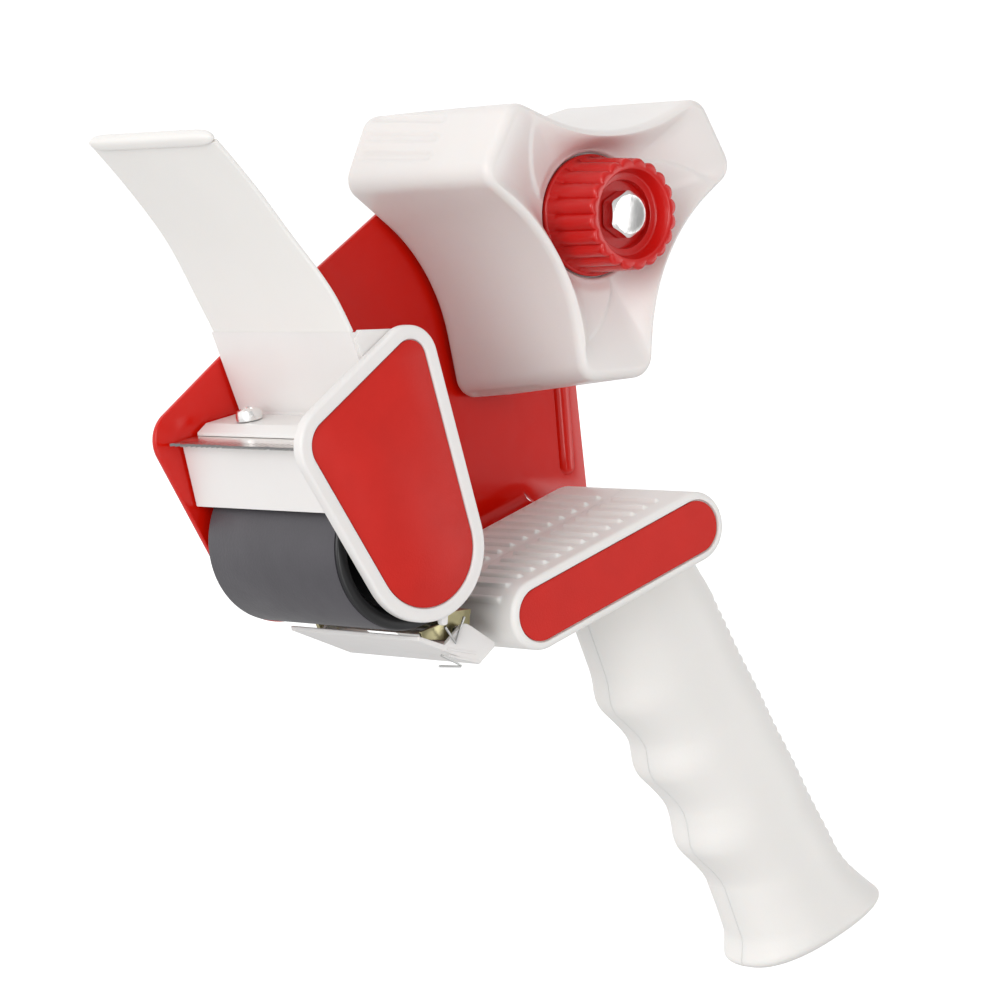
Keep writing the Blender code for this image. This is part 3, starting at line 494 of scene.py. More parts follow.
def hub_wall(angles):
    """Outer wall with its grooves, the far rim and the hollow inside, as (radius, y)."""
    stops = []
    for y in np.linspace(HUB_NEAR + 4.5, HUB_FAR - 2.4, 52):
        share = (HUB_SIDE - y) / (HUB_SIDE - HUB_FAR + 1.2)
        stops.append((hub_radius(share, 0.0, angles) + lobe_ribs(angles, y), y))
    for inset, back in ((0.0, 1.2), (0.15, 0.6), (0.5, 0.15), (0.9, 0.0), (1.9, 0.0), (2.4, 0.3),
                        (2.6, 0.9)):
        stops.append((hub_radius(1.0, inset, angles), HUB_FAR - back))
    for share, inset, y in ((0.7, 2.6, -16.0), (0.3, 2.6, -34.5), (0.3, 3.2, -36.0)):
        stops.append((hub_radius(share, inset, angles), y))
    return stops


def build_hub():
    angles = circle_angles(540)
    stops = [(BORE_R, -2.4), (BORE_R, POCKET_Y), (POCKET_R, POCKET_Y), (POCKET_R, HUB_SEAT - 0.3),
             (POCKET_R + 0.3, HUB_SEAT), (SEAT_R - 0.3, HUB_SEAT), (SEAT_R, HUB_SEAT - 0.3),
             (SEAT_R, HUB_FACE + 0.5)]
    stops += hub_face(angles) + hub_wall(angles)
    stops += [(12.8, -36.0), (12.4, -35.6), (12.4, -24.4), (12.0, -24.0), (8.0, -24.0),
              (7.6, -23.6), (7.6, -2.8), (7.2, -2.4)]
    rows = [ring_at(radius, angles, y) for radius, y in stops]
    hub = loft("tape_hub", rows, HUB_WHITE, "hub", closed=True, sharp=50.0)
    stands_for(hub, "white_plastic", "hub_shell")


# ---------------------------------------------------------------- tension knob and bolt
def flutes(angles, radius, depth):
    """Radius of a ring with 20 flutes of a given depth."""
    return radius - depth * (1.0 - np.abs(np.sin(10.0 * angles)) ** 0.8)


def knob_grip(angles):
    """Fluted outside of the knob, from its flange to its rounded rim, as (radius, y)."""
    stops = []
    start, rim_soft = KNOB_BACK - 1.85, 0.9
    for share in np.linspace(0.0, 1.0, 14):
        swell = 0.35 * (1.0 - smooth(share / 0.06))
        radius = flutes(angles, 13.35 - 0.45 * share + swell, smooth(share / 0.05 + 0.25))
        stops.append((radius, start + (KNOB_RIM + rim_soft - start) * share))
    for turn in np.linspace(0.15, 1.0, 6) * math.pi / 2.0:
        pull = rim_soft * (1.0 - math.cos(turn))
        radius = flutes(angles, 12.9 - pull, 1.0 - 0.25 * pull)
        stops.append((radius, KNOB_RIM + rim_soft * (1.0 - math.sin(turn))))
    return stops


def build_knob():
    angles = circle_angles(360)
    stops = [(BOLT_R + 0.3, KNOB_BACK)]
    stops += [(radius, KNOB_BACK - down) for radius, down in (
        (13.6, 0.0), (13.95, 0.12), (14.1, 0.45), (14.1, 1.2), (13.95, 1.6), (13.6, 1.75))]
    stops += knob_grip(angles)
    stops += [(10.75, KNOB_RIM), (10.45, KNOB_RIM + 0.1), (10.25, KNOB_RIM + 0.4),
              (9.7, -54.6), (9.5, -54.25), (9.2, -54.2), (8.2, -54.2), (7.95, -54.1),
              (7.9, -53.8), (7.9, -52.5), (7.7, -52.2), (BOLT_R + 0.3, -52.2)]
    rows = [ring_at(radius, angles, y) for radius, y in stops]
    knob = loft("tension_knob_fluted", rows, KNOB_RED, "knob", closed=True, sharp=55.0)
    stands_for(knob, "red_plastic", "tension_knob")


def hexagon(angles, half, soft=0.25):
    """Distance to a hexagon with slightly rounded corners, half its width across flats."""
    turn = (angles + math.pi / 6.0) % (math.pi / 3.0) - math.pi / 6.0
    sharp_radius = half / np.cos(turn)
    return np.minimum(sharp_radius, half / math.cos(math.pi / 6.0) - soft)


def thread(radius, y0, y1, pitch=1.0, depth=0.45):
    """Profile of a screw thread drawn as close rings."""
    points = []
    way = 1.0 if y1 > y0 else -1.0
    for turn in range(int(abs(y1 - y0) / pitch)):
        start = y0 + way * pitch * turn
        points += [(radius - depth, start + way * 0.08), (radius, start + way * pitch * 0.45),
                   (radius, start + way * pitch * 0.6), (radius - depth, start + way * pitch * 0.98)]
    return points


def build_bolt():
    angles = circle_angles(144)
    face, back, flat, end = -56.5, -52.5, 4.5, 8.2
    side = hexagon(angles, 4.9)
    stops = [(0.02, face + 0.12), (3.3, face + 0.1), (3.7, face)]
    for reach in np.linspace(flat, 5.6, 8):
        radius = np.minimum(side, reach)
        stops.append((radius, face + np.maximum(0.0, radius - flat) * 0.62))
    stops += [(side, back - 0.2), (side - 0.2, back), (BOLT_R, back), (BOLT_R, 1.2)]
    stops += thread(BOLT_R, 1.4, 7.6) + [(BOLT_R - 0.6, end), (0.02, end)]
    rows = [ring_at(radius, angles, y) for radius, y in stops]
    bolt = loft("axle_bolt_threaded", rows, BRIGHT, "knob", sharp=28.0)
    stands_for(bolt, "bright_steel", "axle_bolt")


def build_nut(name, node, x, z, y0, y1, half, bore):
    """Hexagon nut with chamfered faces."""
    angles = circle_angles(144)
    side = hexagon(angles, half, 0.12)
    flat, corner = half * 0.95, half * 1.15
    stops = [(bore, y1 - 0.4), (bore + 0.4, y1)]
    for face, way, first, last in ((y1, -1.0, flat, corner), (y0, 1.0, corner, flat)):
        for reach in np.linspace(first, last, 6):
            radius = np.minimum(side, reach)
            stops.append((radius, face + way * np.maximum(0.0, radius - flat) * 0.55))
    stops += [(bore + 0.4, y0), (bore, y0 + 0.4)]
    rows = [ring_at(radius, angles, y, x, z) for radius, y in stops]
    nut = loft(name, rows, STEEL, "frame", closed=True, sharp=28.0)
    stands_for(nut, "steel", node)


# ---------------------------------------------------------------- screws
def screw_stops(angles, radius, height, shank, length):
    """Domed head with a cross recess, then the thread, as (radius, level over the seat)."""
    arm = np.minimum(np.abs(np.cos(angles)), np.abs(np.sin(angles)))
    drawn_radius = 3.1
    stops = []
    for reach in (0.02, 0.3, 0.55, 0.7, 0.85, 1.0, 1.15, 1.3, 1.45, 1.6, 1.8, 2.1, 2.4, 2.7):
        reach = reach * radius / drawn_radius
        dome = height * (1.0 - 0.30 * (reach / radius) ** 2)
        inside = smooth((0.42 - arm * reach) / 0.12) * smooth((radius * 0.55 - reach) / 0.15)
        stops.append((reach, dome - height * 0.5 * inside))
    stops += [(radius * 0.95, height * 0.55), (radius, height * 0.25), (radius, 0.1),
              (radius - 0.1, 0.0), (shank, 0.0), (shank, -0.6)]
    stops += thread(shank, -0.8, -length + 1.0, 0.9, 0.3)
    return stops + [(shank * 0.7, -length + 0.4), (0.02, -length)]


def build_screw(name, node, seat, direction, radius, height, shank, length):
    """Pan-head screw; seat is the underside of its head."""
    angles = circle_angles(96)
    spin = np.array(Vector((0.0, 0.0, 1.0)).rotation_difference(Vector(direction)).to_matrix())
    rings = []
    for reach, level in screw_stops(angles, radius, height, shank, length):
        local = np.stack([reach * np.cos(angles), reach * np.sin(angles),
                          np.broadcast_to(level, angles.shape)], -1)
        rings.append(local @ spin.T + np.asarray(seat))
    screw = loft(name, rings, BRIGHT, "frame", sharp=32.0)
    stands_for(screw, "bright_steel", node)


def blade_top(x):
    """Height of the blade's upper face."""
    return -47.3 - LIP_FALL * (-70.0 - x)


def grip_middle(down):
    """Middle of the grip, front to back, at a distance below the pad."""
    front, rear = grip_edges(down)
    return pad_place((front + rear) / 2.0, down)


def build_screws():
    outward, down_pad = (0.0, 1.0, 0.0), (math.sin(PAD_SLOPE), 0.0, -math.cos(PAD_SLOPE))
    lip_x, lip_rise = -76.2, 2.65
    for end, y in (("far", -14.0), ("near", -40.6)):
        seat = (lip_x + LIP_UP[0] * lip_rise, y, blade_top(lip_x) + LIP_UP[2] * lip_rise)
        build_screw("lip_screw_" + end, "clamp_screw_" + end, seat, LIP_UP, 3.1, 2.9, 1.4, 7.6)
    for end, (x, z), length in zip(("upper", "lower"), WALL_SCREWS, (10.8, 4.4)):
        build_screw("wall_screw_" + end, "housing_screw_" + end, (x, 1.8, z), outward,
                    3.2, 2.0, 1.5, length)
    for end, down in zip(("upper", "lower"), GRIP_SCREWS):
        x, z = grip_middle(down)
        build_screw("grip_screw_" + end, "handle_screw_" + end, (x, -21.9, z), outward,
                    2.9, 2.1, 1.4, 20.1)
    for end, along in (("front", 10.0), ("rear", 21.0)):
        x, z = pad_place(along, 8.5)
        build_screw("pad_screw_" + end, "flange_screw_" + end, (x, -21.0, z), down_pad,
                    3.1, 1.8, 1.4, 12.3)


# ---------------------------------------------------------------- side plate
BEND_FRONT, BEND_REAR, BEND_R = 3.0, 47.0, 2.5


def plate_outline():
    front, rear = pad_place(BEND_FRONT, -PAD_R), pad_place(BEND_REAR, -PAD_R)
    return rounded([
        (-95.3, -49.0, 7.4), (-66.5, -95.2, 17.5), (*pad_place(1.0, -2.0), 1.5), (*front, 0.0),
        (*rear, 0.0), (19.0, -70.0, 1.5), (33.3, -70.0, 3.0), (26.6, -16.5, 12.0),
        (5.5, 26.6, 17.0), (-74.0, -31.4, 60.0)], 16)


def plate_bend():
    """Lower edge, bent towards the open side along the pad's top."""
    inner, outer = [(0.0, PAD_R + 4.0)], [(PLATE_T, PAD_R + 4.0)]
    for step in range(13):
        angle = math.pi / 2.0 * step / 12
        c, s = math.cos(angle), math.sin(angle)
        inner.append((-BEND_R + BEND_R * c, PAD_R - BEND_R * s))
        outer.append((-BEND_R + (BEND_R + PLATE_T) * c, PAD_R - (BEND_R + PLATE_T) * s))
    inner.append((-42.0, PAD_R - BEND_R))
    outer.append((-42.0, PAD_R - BEND_R - PLATE_T))
    rows = []
    for along in (BEND_FRONT, BEND_REAR):
        row = []
        for y, height in inner + outer[::-1]:
            x, z = pad_place(along, -height)
            row.append((x, y, z))
        rows.append(row)
    return loft("bend", rows, None, None)


def plate_rib():
    """Stiffening rib, raised on the near face."""
    centre = (24.85, -41.75)
    angles = circle_angles(240)
    rows = []
    for radius, y in ((2.3, 0.7), (2.3, 0.02), (2.15, -0.25), (1.8, -0.65), (1.35, -0.95),
                      (0.9, -1.1), (0.3, -1.1)):
        belt = hull(((23.2, -24.0, radius), (26.5, -59.5, radius)), 64)
        rows.append(ring_at(polar(belt, centre, angles), angles, y, *centre))
    return loft("rib", rows, None, None)


def build_plate():
    """Sheet with its lower edge bent into the pad, a stiffening rib and its holes."""
    plate = slab("enamel_plate", plate_outline(), 0.0, PLATE_T, 0.35, ENAMEL, None)
    cut(plate, plate_bend(), "UNION")
    cut(plate, plate_rib(), "UNION")
    holes = [(0.0, 0.0, BOLT_R + 0.4), (ROLLER_X, ROLLER_Z, 2.9)]
    holes += [(x, z, 2.0) for x, z in WALL_SCREWS] + [(-45.5, -86.2, 1.7)]
    for x, z, radius in holes:
        cut(plate, turned("hole", x, z, [(radius, -6.0), (radius, 6.0)], None, None, 48))
    dress(plate, ENAMEL, "frame")
    stands_for(plate, "red_enamel", "frame_plate")


# ---------------------------------------------------------------- front housing, cap, blade
def keep(node, mat, soft=0.0):
    """CAD node kept as it is, with its finish and, where soft is given, small rounded edges."""
    obj = frame["nodes"][node]
    obj.data.materials.clear()
    obj.data.materials.append(mat)
    if soft > 0.0:
        obj.modifiers.new("weld", "WELD").merge_threshold = 0.01 * MM
        mod = obj.modifiers.new("soft_edges", "BEVEL")
        mod.width = soft * MM
        mod.segments = 2
        mod.limit_method = "ANGLE"
        mod.angle_limit = math.radians(40.0)
        mod.use_clamp_overlap = True
        mod.harden_normals = True


def cap_rings(levels):
    """Rings of the cap's outline, a belt around its three circles, for (inset, y) levels."""
    angles = circle_angles(480)
    rings = []
    for inset, y in levels:
        belt = hull([(x, z, max(0.05, r - inset)) for x, z, r in CAP_CIRCLES])
        rings.append(ring_at(polar(belt, CAP_CENTRE, angles), angles, y, *CAP_CENTRE))
    return rings


def rim_levels(width, floor, near, far):
    """Levels of a raised rim around a recess, then the outer wall and the back."""
    soft, back = 0.7, 0.3
    levels = [(width + 0.25, floor), (width, floor - 0.12), (width, near + 0.35)]
    levels += [(width - 0.12, near + 0.1), (width - 0.3, near)]
    for turn in np.linspace(0.0, 1.0, 6) * math.pi / 2.0:
        levels.append((soft * (1.0 - math.sin(turn)), near + soft * (1.0 - math.cos(turn))))
    levels += [(0.0, far - back), (back * 0.3, far - back * 0.3), (back, far)]
    return levels


def build_cap():
    levels = rim_levels(LABEL_INSET - 0.2, -57.0, CAP_NEAR, CAP_FAR)
    cap = loft("cap_shell", cap_rings(levels), WHITE, "frame", sharp=50.0)
    stands_for(cap, "white_plastic", "side_cap")
    levels = ((LABEL_INSET + 0.1, -57.05), (LABEL_INSET, -57.2), (LABEL_INSET, -57.55),
              (LABEL_INSET + 0.1, -57.62))
    label = loft("cap_film", cap_rings(levels), LABEL, "frame")
    stands_for(label, "red_label", "cap_label")
    outline = rounded([(-56.0, -88.6, 0.2), (-53.6, -87.9, 0.2), (-53.8, -91.3, 0.5),
                       (-55.1, -91.6, 0.5)], 4)
    nub = slab("cap_nub", outline, -55.4, -57.2, 0.25, WHITE, "frame")


def build_clamp():
    front, rear, gap = -82.3, -70.8, 0.08
    outline = rounded([
        (rear, -45.6, 0.2), (-71.2, -44.9, 0.3), (-79.9, -46.9, 0.5), (front, -49.0, 0.15),
        (front, blade_top(front) + gap, 0.1), (rear, blade_top(rear) + gap, 0.1)], 4)
    clamp = slab("blade_lip", outline, -1.2, -54.6, 0.3, WHITE, "frame")
    stands_for(clamp, "white_plastic", "blade_clamp")


def blade_edge():
    """Outline of the blade as (along, across), with a tooth and a narrow slit at each pitch."""
    pitch, width, back, root, tip = 2.05, 26.6, 14.3, -1.5, -4.8
    edge = [(back, -width), (back, width), (root, width)]
    across = width
    while across - pitch > -width:
        edge += [(tip, across - pitch * 0.12), (tip + 0.9, across - pitch * 0.52)]
        edge.append((root, across - pitch * 0.60))
        across -= pitch
        edge.append((root, across))
    return edge + [(root, -width)]


def build_blade():
    """Strip with slanted teeth along its front edge; its cut edges get a darker steel, painted shade that
    makes the slits between the teeth look dark.
    """
    front, half = -85.2, 0.32
    corner = np.array((front, FLAP_MID - 0.3, blade_top(front) - 0.33))
    layers = [[corner + LIP_ALONG * along + LIP_UP * level + (0.0, across, 0.0)
               for along, across in blade_edge()] for level in (-half, half)]
    bm, _ends = prism(*layers)
    bmesh.ops.triangulate(bm, faces=[face for face in bm.faces if len(face.verts) > 4])
    bmesh.ops.recalc_face_normals(bm, faces=bm.faces)
    blade = dress(add_piece("serrated_blade", bm), BLADE, "frame", 20.0)
    blade.data.materials.append(SHADED_BLADE_EDGE)
    # faces across the blade, its cut edges, take the darker steel of painted shade
    for face in blade.data.polygons:
        face.material_index = int(abs(face.normal.dot(LIP_UP)) < 0.5)
    stands_for(blade, "blade_steel", "cutting_blade")


# ---------------------------------------------------------------- wiper flap
def flap_frame(rise):
    """Middle of the flap at a height above its foot, with its directions along and out."""
    lean, curl = -0.545, -0.0065
    along = np.array((lean + 2.0 * curl * rise, 0.0, 1.0))
    along /= np.linalg.norm(along)
    out = np.array((-along[2], 0.0, along[0]))
    x = FLAP_X + lean * rise + curl * rise ** 2
    return np.array((x, FLAP_MID, FLAP_Z + rise)), along, out


def flap_ends(rise):
    """Near and far end of the flap at a height, from its middle."""
    taper = smooth((rise - 6.0) / 18.0)
    return -26.4 + 3.0 * taper, 26.4 - 2.2 * taper


def build_flap():
    """Thin curved sheet with rounded side edges."""
    half_section = ((0.55, 0.5), (0.5, 0.15), (0.3, 0.0), (-0.3, 0.0), (-0.5, 0.15), (-0.55, 0.5))
    rows = []
    for rise in np.linspace(-0.25, FLAP_RISE, 70):
        middle, _along, out = flap_frame(rise)
        near, far = flap_ends(rise)
        ring = [middle + out * depth + (0.0, far - edge, 0.0) for depth, edge in half_section]
        ring += [middle - out * depth + (0.0, near + edge, 0.0) for depth, edge in half_section]
        rows.append(ring)
    flap = loft("wiper_sheet", rows, FILM, "wiper", sharp=50.0)
    stands_for(flap, "white_film", "wiper_flap")


def blunt(value):
    """Sine or cosine pushed towards -1 and 1, for a squarer round."""
    return np.sign(value) * abs(value) ** 0.7


def build_flap_bar():
    """Rounded bar along the flap's free edge."""
    middle, along, out = flap_frame(FLAP_RISE)
    near, far = flap_ends(FLAP_RISE)
    rows = []
    for turn in np.linspace(0.0, 1.0, 25):
        side = -math.cos(turn * math.pi)
        end_round = math.sqrt(max(0.0, 1.0 - abs(side) ** 12))
        y = FLAP_MID + (near + far) / 2.0 + side * (far - near) / 2.0
        ring = []
        for angle in circle_angles(40):
            deep, high = 1.5 * end_round * blunt(math.cos(angle)), 1.8 * end_round * blunt(math.sin(angle))
            spot = middle + along * (1.2 + high) + out * deep
            ring.append((spot[0], y, spot[2]))
        rows.append(ring)
    bar = loft("wiper_bar", rows, FILM, "wiper", sharp=60.0)


# ---------------------------------------------------------------- roller
def build_roller():
    near, far, lip = ROLLER_NEAR, ROLLER_FAR, 0.9
    sleeve = [(16.4, far)] + arc(ROLLER_R - 0.6, far, ROLLER_R, far - 0.6)
    sleeve += [(ROLLER_R, near + lip + 0.45)]
    sleeve += [(ROLLER_R - 0.15, near + lip + 0.1), (16.4, near + lip + 0.05)]
    part = turned("rubber_sleeve", ROLLER_X, ROLLER_Z, sleeve, RUBBER, "roller", 160, True)
    stands_for(part, "dark_rubber", "roller_sleeve")
    core = [(3.1, far - 0.3), (5.6, far - 0.3), (5.6, -44.0), (14.3, -44.0), (14.3, far - 0.3),
            (16.3, far - 0.3), (16.3, near + lip), (18.3, near + lip)]
    core += [(18.6, near + lip - 0.1), (18.7, near + 0.5), (18.5, near + 0.15), (18.1, near)]
    core += [(16.2, near), (15.8, near + 0.25), (15.2, near + 1.2), (14.3, -46.4), (13.9, -46.0)]
    core += [(6.0, -46.0), (5.6, -46.4), (5.6, near + 0.6), (5.3, near + 0.3), (3.1, near + 0.3)]
    part = turned("roller_spool", ROLLER_X, ROLLER_Z, core, BLACK, "roller", 128, True, 45.0)
    stands_for(part, "black_plastic", "roller_core")
    build_nut("roller_hexagon_nut", "roller_nut", ROLLER_X, ROLLER_Z, 1.8, 5.0, 4.6, 2.9)


# ---------------------------------------------------------------- handle
def grip_edges(down):
    """Front and rear of the grip along the pad's slope, at a distance below the pad."""
    front = 28.4 + 0.037 * down
    for start in FINGER_STEPS:
        front += 4.1 * smooth((down - start) / 12.6)
        front -= 1.3 * math.exp(-((down - start + 1.5) / 4.0) ** 2)
    front -= 3.7 * smooth((down - 105.4) / 9.4)
    lean = 0.183 if down >= GRIP_TOP else 0.30
    rear = GRIP_REAR + lean * (down - GRIP_TOP) + 4.5 * max(0.0, (down - 94.3) / 14.4) ** 1.6
    return front, rear


def grip_ring(down, angles):
    """Oval of the grip at a distance below the pad, with fine ridges on its back edge."""
    end = float(smooth((down - 98.0) / 14.0))
    end_soft, squareness, ridge_pitch, ridge_depth = 2.6, 0.82, 2.5, 0.55
    squeeze = end_soft * max(0.0, 1.0 - (GRIP_END - down) / end_soft) ** 2
    front, rear = grip_edges(down)
    middle, reach = (front + rear) / 2.0, (rear - front) / 2.0 - squeeze
    depth = GRIP_HALF + 1.2 * end - squeeze
    c, s = np.cos(angles), np.sin(angles)
    along = middle - reach * np.sign(c) * np.abs(c) ** squareness
    out = depth * np.sign(s) * np.abs(s) ** squareness
    ridge = 0.5 - 0.5 * math.cos(2.0 * math.pi * down / ridge_pitch)
    fade = float(smooth((down - 22.0) / 3.0) * smooth((104.0 - down) / 3.0))
    along = along - ridge_depth * ridge * fade * smooth((-c - 0.62) / 0.10)
    x, z = pad_place(along, down - 0.03 * end * (along - middle))
    return np.stack([x, PARTING + out, z], -1)


def pad_ring(radius, y, ribbed):
    """Pad section: a belt round two circles; ribbed raises the bars on its top."""
    stretch, bar_pitch, bar_height = math.pi * PAD_R, 3.95, 0.8
    sections = ((-stretch, 0.0, 56), (0.0, PAD_LENGTH, 150), (PAD_LENGTH, PAD_LENGTH + stretch, 24))
    spots = np.concatenate([np.linspace(a, b, n, endpoint=False) for a, b, n in sections])
    bottom = np.linspace(0.0, 1.0, 14, endpoint=False)
    length = np.concatenate([spots, np.full(len(bottom), PAD_LENGTH + stretch)])
    bars = sum(smooth((0.85 - np.abs(length - 1.5 - bar_pitch * bar)) / 0.55) for bar in range(-2, 12))
    reach = radius + bar_height * bars * ribbed
    base = np.clip(length, 0.0, PAD_LENGTH)
    turn = (length - base) / PAD_R
    along, down = base + reach * np.sin(turn), -reach * np.cos(turn)
    along[len(spots):] = PAD_LENGTH * (1.0 - bottom)
    down[len(spots):] = radius
    x, z = pad_place(along, down)
    return np.stack([x, np.full_like(x, y), z], -1)


def rib_strength(y):
    """1 where the pad's bars stand, on each half, and 0 between and beside them."""
    far = smooth((y + 31.4) / 0.9) * smooth((-11.6 - y) / 0.9)
    near = smooth((y + 52.9) / 0.9) * smooth((-35.8 - y) / 0.9)
    return float(max(far, near))


def build_pad():
    soft = 1.3
    turns = np.linspace(0.0, 1.0, 6) * math.pi / 2.0
    corner = [(PAD_R - soft * (1.0 - math.sin(turn)), soft * (1.0 - math.cos(turn))) for turn in turns]
    levels = [(radius, PAD_FAR - step) for radius, step in corner]
    for first, last, step in ((-10.8, -12.6, 0.3), (-13.0, -30.0, 1.6), (-30.4, -31.8, 0.3),
                              (-32.4, -35.4, 1.0), (-35.6, -37.0, 0.3), (-37.6, -51.6, 1.6),
                              (-51.9, -53.2, 0.3), (-53.8, -56.4, 0.8)):
        levels += [(PAD_R, y) for y in np.arange(first, last, -step)]
    levels += [(radius, PAD_NEAR + step) for radius, step in reversed(corner)]
    rows = [pad_ring(radius, y, rib_strength(y)) for radius, y in levels]
    rows.append(pad_ring(PAD_R - 1.75, PAD_NEAR, 0.0))
    rows.append(pad_ring(PAD_R - 1.85, PAD_NEAR + 0.9, 0.0))
    return loft("pad_form", rows, None, None, sharp=50.0)


def half_space(y0, y1):
    """Block that holds all of the handle between two planes across Y."""
    outline = [(-60.0, -240.0), (130.0, -240.0), (130.0, -50.0), (-60.0, -50.0)]
    return slab("half_space", outline, y0, y1, 0.0, None, None)


def build_handle():
    """Pad and grip moulded in one, in two halves that meet at the parting plane."""
    whole = build_pad()
    angles = circle_angles(112)
    downs = np.concatenate([np.arange(4.0, 22.0, 3.0), np.arange(22.0, 105.0, 0.42),
                            np.arange(105.2, GRIP_END - 2.8, 1.0),
                            GRIP_END - 2.6 + 2.6 * np.sin(np.linspace(0.0, 1.0, 8) * math.pi / 2.0)])
    grip = loft("grip_form", [grip_ring(down, angles) for down in downs], None, None, sharp=50.0)
    cut(whole, grip, "UNION")
    gap = 0.05
    halves = (("near", PARTING - gap, PARTING - 60.0), ("far", PARTING + gap, PARTING + 60.0))
    for end, y0, y1 in halves:
        half = whole.copy()
        half.data = whole.data.copy()
        half.name = "handle_half_" + end
        PARTS.objects.link(half)
        cut(half, half_space(y0, y1), "INTERSECT")
        if end == "far":
            for down in GRIP_SCREWS:
                x, z = grip_middle(down)
                cut(half, turned("seat", x, z, [(3.3, -22.3), (3.3, -12.0)], None, None, 48))
        dress(half, GRIP_WHITE, "frame", 50.0)
        stands_for(half, "white_plastic", "handle_%s_shell" % end)
    bpy.data.objects.remove(whole, do_unlink=True)
    rows = [pad_ring(PAD_R - inset, y, 0.0)
            for inset, y in ((2.2, -57.15), (2.1, -57.3), (2.1, -57.6), (2.2, -57.7))]
    label = loft("pad_film", rows, LABEL, "frame")
    stands_for(label, "red_label", "pad_label")


# ---------------------------------------------------------------- tape retainer
def build_retainer():
    """Moulded plate under the roller, with two low bars on its near end."""
    sheet = rounded([(-58.4, -93.9, 0.3), (-58.2, -95.1, 0.4), (-41.2, -101.2, 0.6),
                     (-36.4, -97.2, 0.5), (-37.6, -96.4, 0.3), (-41.2, -99.3, 1.5)], 5)
    plate = slab("retainer_sheet", sheet, -3.4, -52.2, 0.2, WHITE, None)
    ear = rounded([(-51.6, -97.0, 0.3), (-48.4, -94.0, 1.5), (-45.4, -91.5, 1.6),
                   (-43.4, -92.4, 3.0), (-36.4, -96.6, 0.5), (-40.2, -100.2, 0.3)], 5)
    for y0, y1 in ((-51.0, -52.2), (-3.4, -4.6)):
        cut(plate, slab("ear", ear, y0, y1, 0.15, None, None), "UNION")
    cut(plate, turned("hole", PIN_X, PIN_Z, [(1.5, -1.0), (1.5, -51.7)], None, None, 40))
    for first, last in (((-50.2, -97.2), (-42.4, -98.6)), ((-49.2, -98.9), (-41.6, -100.6))):
        bar = hull((first + (0.25,), last + (0.25,)), 24)
        cut(plate, slab("bar", bar, -51.6, -52.5, 0.1, None, None), "UNION")
    dress(plate, WHITE, "retainer", 45.0)
    stands_for(plate, "white_plastic", "retainer_flap")


def build_retainer_springs():
    """Coil around the pin, the wires that show below it and the bracket's tab."""
    per, turns = 20, 6
    coil = [(-49.8, -41.0, -91.3)]
    for step in range(per * turns + 1):
        angle = math.radians(130.0) - 2.0 * math.pi * step / per
        y = -41.0 - 5.4 * step / (per * turns)
        coil.append((PIN_X + 2.0 * math.cos(angle), y, PIN_Z + 2.0 * math.sin(angle)))
    coil.append((-48.6, -46.8, -95.2))
    spring = tube("torsion_spring", coil, 0.35, STEEL, "frame")
    stands_for(spring, "steel", "retainer_spring")
    fork = tube("spring_fork", [(-51.2, -52.7, -92.2), (-48.3, -52.7, -95.9), (-45.8, -52.7, -90.2)],
                0.32, STEEL, "frame")
    hook = tube("spring_hook", [(-52.4, -52.8, -98.5), (-46.9, -52.8, -101.0), (-47.0, -52.8, -101.3),
                                (-53.0, -52.8, -100.9)], 0.3, STEEL, "retainer")
    tab_outline = rounded([(-56.3, -93.2, 0.2), (-49.8, -91.4, 0.2), (-49.6, -95.4, 0.2),
                           (-55.7, -95.0, 0.2)], 2)
    tab = slab("bracket_tab", tab_outline, -49.6, -50.4, 0.1, BRASSY, "frame")


# ---------------------------------------------------------------- stage
def build_stage():
    """Pale floor below the object, which lights and mirrors nothing."""
    drop = 0.06
    bm = bmesh.new()
    bmesh.ops.create_grid(bm, x_segments=1, y_segments=1, size=40.0)
    mesh = bpy.data.meshes.new("floor")
    bm.to_mesh(mesh)
    bm.free()
    floor = bpy.data.objects.new("floor", mesh)
    floor.location = (0.0, 0.0, CAD_BOX[0].z - drop)
    bpy.context.scene.collection.objects.link(floor)
    mat = bpy.data.materials.new("pale_floor")
    mat.use_nodes = True
    shader = mat.node_tree.nodes["Principled BSDF"]
    shader.inputs["Base Color"].default_value = (0.96, 0.96, 0.96, 1.0)
    shader.inputs["Roughness"].default_value = 0.9
    shader.inputs["Specular IOR Level"].default_value = 0.1
    shader.inputs["Emission Color"].default_value = (1.0, 1.0, 1.0, 1.0)
    shader.inputs["Emission Strength"].default_value = 0.4
    mesh.materials.append(mat)
    floor.visible_diffuse = False
    floor.visible_glossy = False


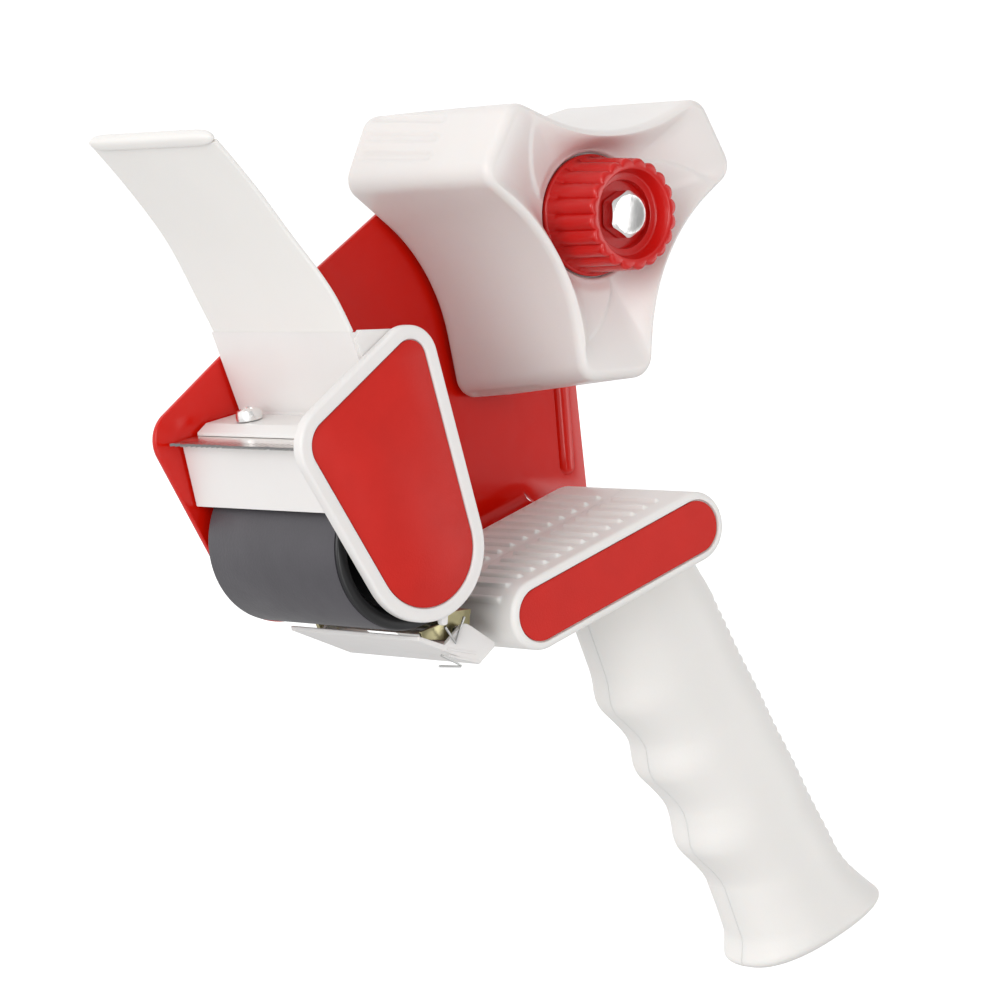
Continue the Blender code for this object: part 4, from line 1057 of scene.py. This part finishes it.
def build_world():
    """Soft white room, dimmer below and high in front, uneven where the plate mirrors it."""
    world = bpy.data.worlds.new("studio")
    bpy.context.scene.world = world
    world.use_nodes = True
    tree = world.node_tree
    coords = tree.nodes.new("ShaderNodeTexCoord")

    def ramp(way, low, high, start, end):
        """Brightness factor from the angle between the view and a direction."""
        toward = tree.nodes.new("ShaderNodeVectorMath")
        toward.operation = "DOT_PRODUCT"
        toward.inputs[1].default_value = Vector(way).normalized()
        tree.links.new(coords.outputs["Generated"], toward.inputs[0])
        node = tree.nodes.new("ShaderNodeMapRange")
        node.interpolation_type = "SMOOTHSTEP"
        node.inputs["From Min"].default_value = low
        node.inputs["From Max"].default_value = high
        node.inputs["To Min"].default_value = start
        node.inputs["To Max"].default_value = end
        tree.links.new(toward.outputs["Value"], node.inputs["Value"])
        return node.outputs["Result"]

    strength = ramp((0.0, 0.0, 1.0), -0.35, -0.02, 0.76, 1.12)
    # what the plate's left mirrors, what its right mirrors, and high in front
    for factor in (ramp((0.34, -0.94, -0.03), 0.90, 0.96, 1.0, 0.45),
                   ramp((0.80, -0.60, -0.03), 0.955, 0.99, 1.0, 4.0),
                   ramp((0.3, -0.6, 0.75), 0.2, 0.85, 1.0, 0.55)):
        both = tree.nodes.new("ShaderNodeMath")
        both.operation = "MULTIPLY"
        tree.links.new(strength, both.inputs[0])
        tree.links.new(factor, both.inputs[1])
        strength = both.outputs["Value"]
    tree.links.new(strength, tree.nodes["Background"].inputs["Strength"])
    tree.nodes["Background"].inputs["Color"].default_value = (1.0, 1.0, 1.0, 1.0)


def softbox(name, spot, aim, width, height, power):
    """Rectangular area light at a spot, aimed at a point."""
    light = bpy.data.lights.new(name, "AREA")
    light.shape = "RECTANGLE"
    light.size, light.size_y, light.energy = width, height, power
    lamp = bpy.data.objects.new(name, light)
    lamp.location = spot
    way = Vector(aim) - Vector(spot)
    lamp.rotation_euler = way.to_track_quat("-Z", "Y").to_euler()
    bpy.context.scene.collection.objects.link(lamp)


def build_lights():
    middle = (0.0, 0.0, 0.03)
    softbox("key", (-1.5, -0.7, 0.35), middle, 0.9, 0.9, 8.0)
    softbox("front", (-0.2, -1.8, -0.1), middle, 0.8, 1.0, 9.0)


def build_camera():
    """The photograph's view: azimuth, elevation and roll, then place along the view axes."""
    azimuth, elevation, roll = (math.radians(a) for a in (-38.0, 2.42, -0.42))
    aim_right, aim_up, distance = 5.0717, -66.9329, 1141.698
    side = Vector((math.cos(azimuth), math.sin(azimuth), 0.0))
    back = Vector((math.sin(azimuth) * math.cos(elevation),
                   -math.cos(azimuth) * math.cos(elevation), math.sin(elevation)))
    up = back.cross(side)
    right = side * math.cos(roll) + up * math.sin(roll)
    top = up * math.cos(roll) - side * math.sin(roll)
    spot = place(right * aim_right + top * aim_up + back * distance)
    data = bpy.data.cameras.new("camera")
    data.sensor_width = 36.0
    data.lens = 172.96
    data.clip_start, data.clip_end = 0.05, 200.0
    camera = bpy.data.objects.new("camera", data)
    turn = Matrix((right, top, back)).transposed().to_4x4()
    camera.matrix_world = Matrix.Translation(Vector(spot)) @ turn
    bpy.context.scene.collection.objects.link(camera)
    bpy.context.scene.camera = camera


# ---------------------------------------------------------------- the whole
def build_all():
    build_hub()
    build_knob()
    build_bolt()
    build_nut("axle_hexagon_nut", "axle_nut", 0.0, 0.0, 3.2, 7.2, 5.0, BOLT_R + 0.3)
    build_plate()
    keep("front_housing", WHITE, 0.3)
    build_cap()
    build_clamp()
    build_blade()
    build_screws()
    build_flap()
    build_flap_bar()
    build_roller()
    build_handle()
    build_retainer()
    build_retainer_springs()
    keep("retainer_bracket", BRASSY, 0.15)
    for node in ("pressure_washer", "tension_spring", "axle_washer", "roller_axle",
                 "retainer_pin", "bracket_rivet"):
        keep(node, STEEL, 0.0)
    keep("hub_bush", BLACK, 0.0)


build_camera()
build_stage()
build_world()
build_lights()
build_all()
bpy.context.scene.view_settings.view_transform = "Standard"
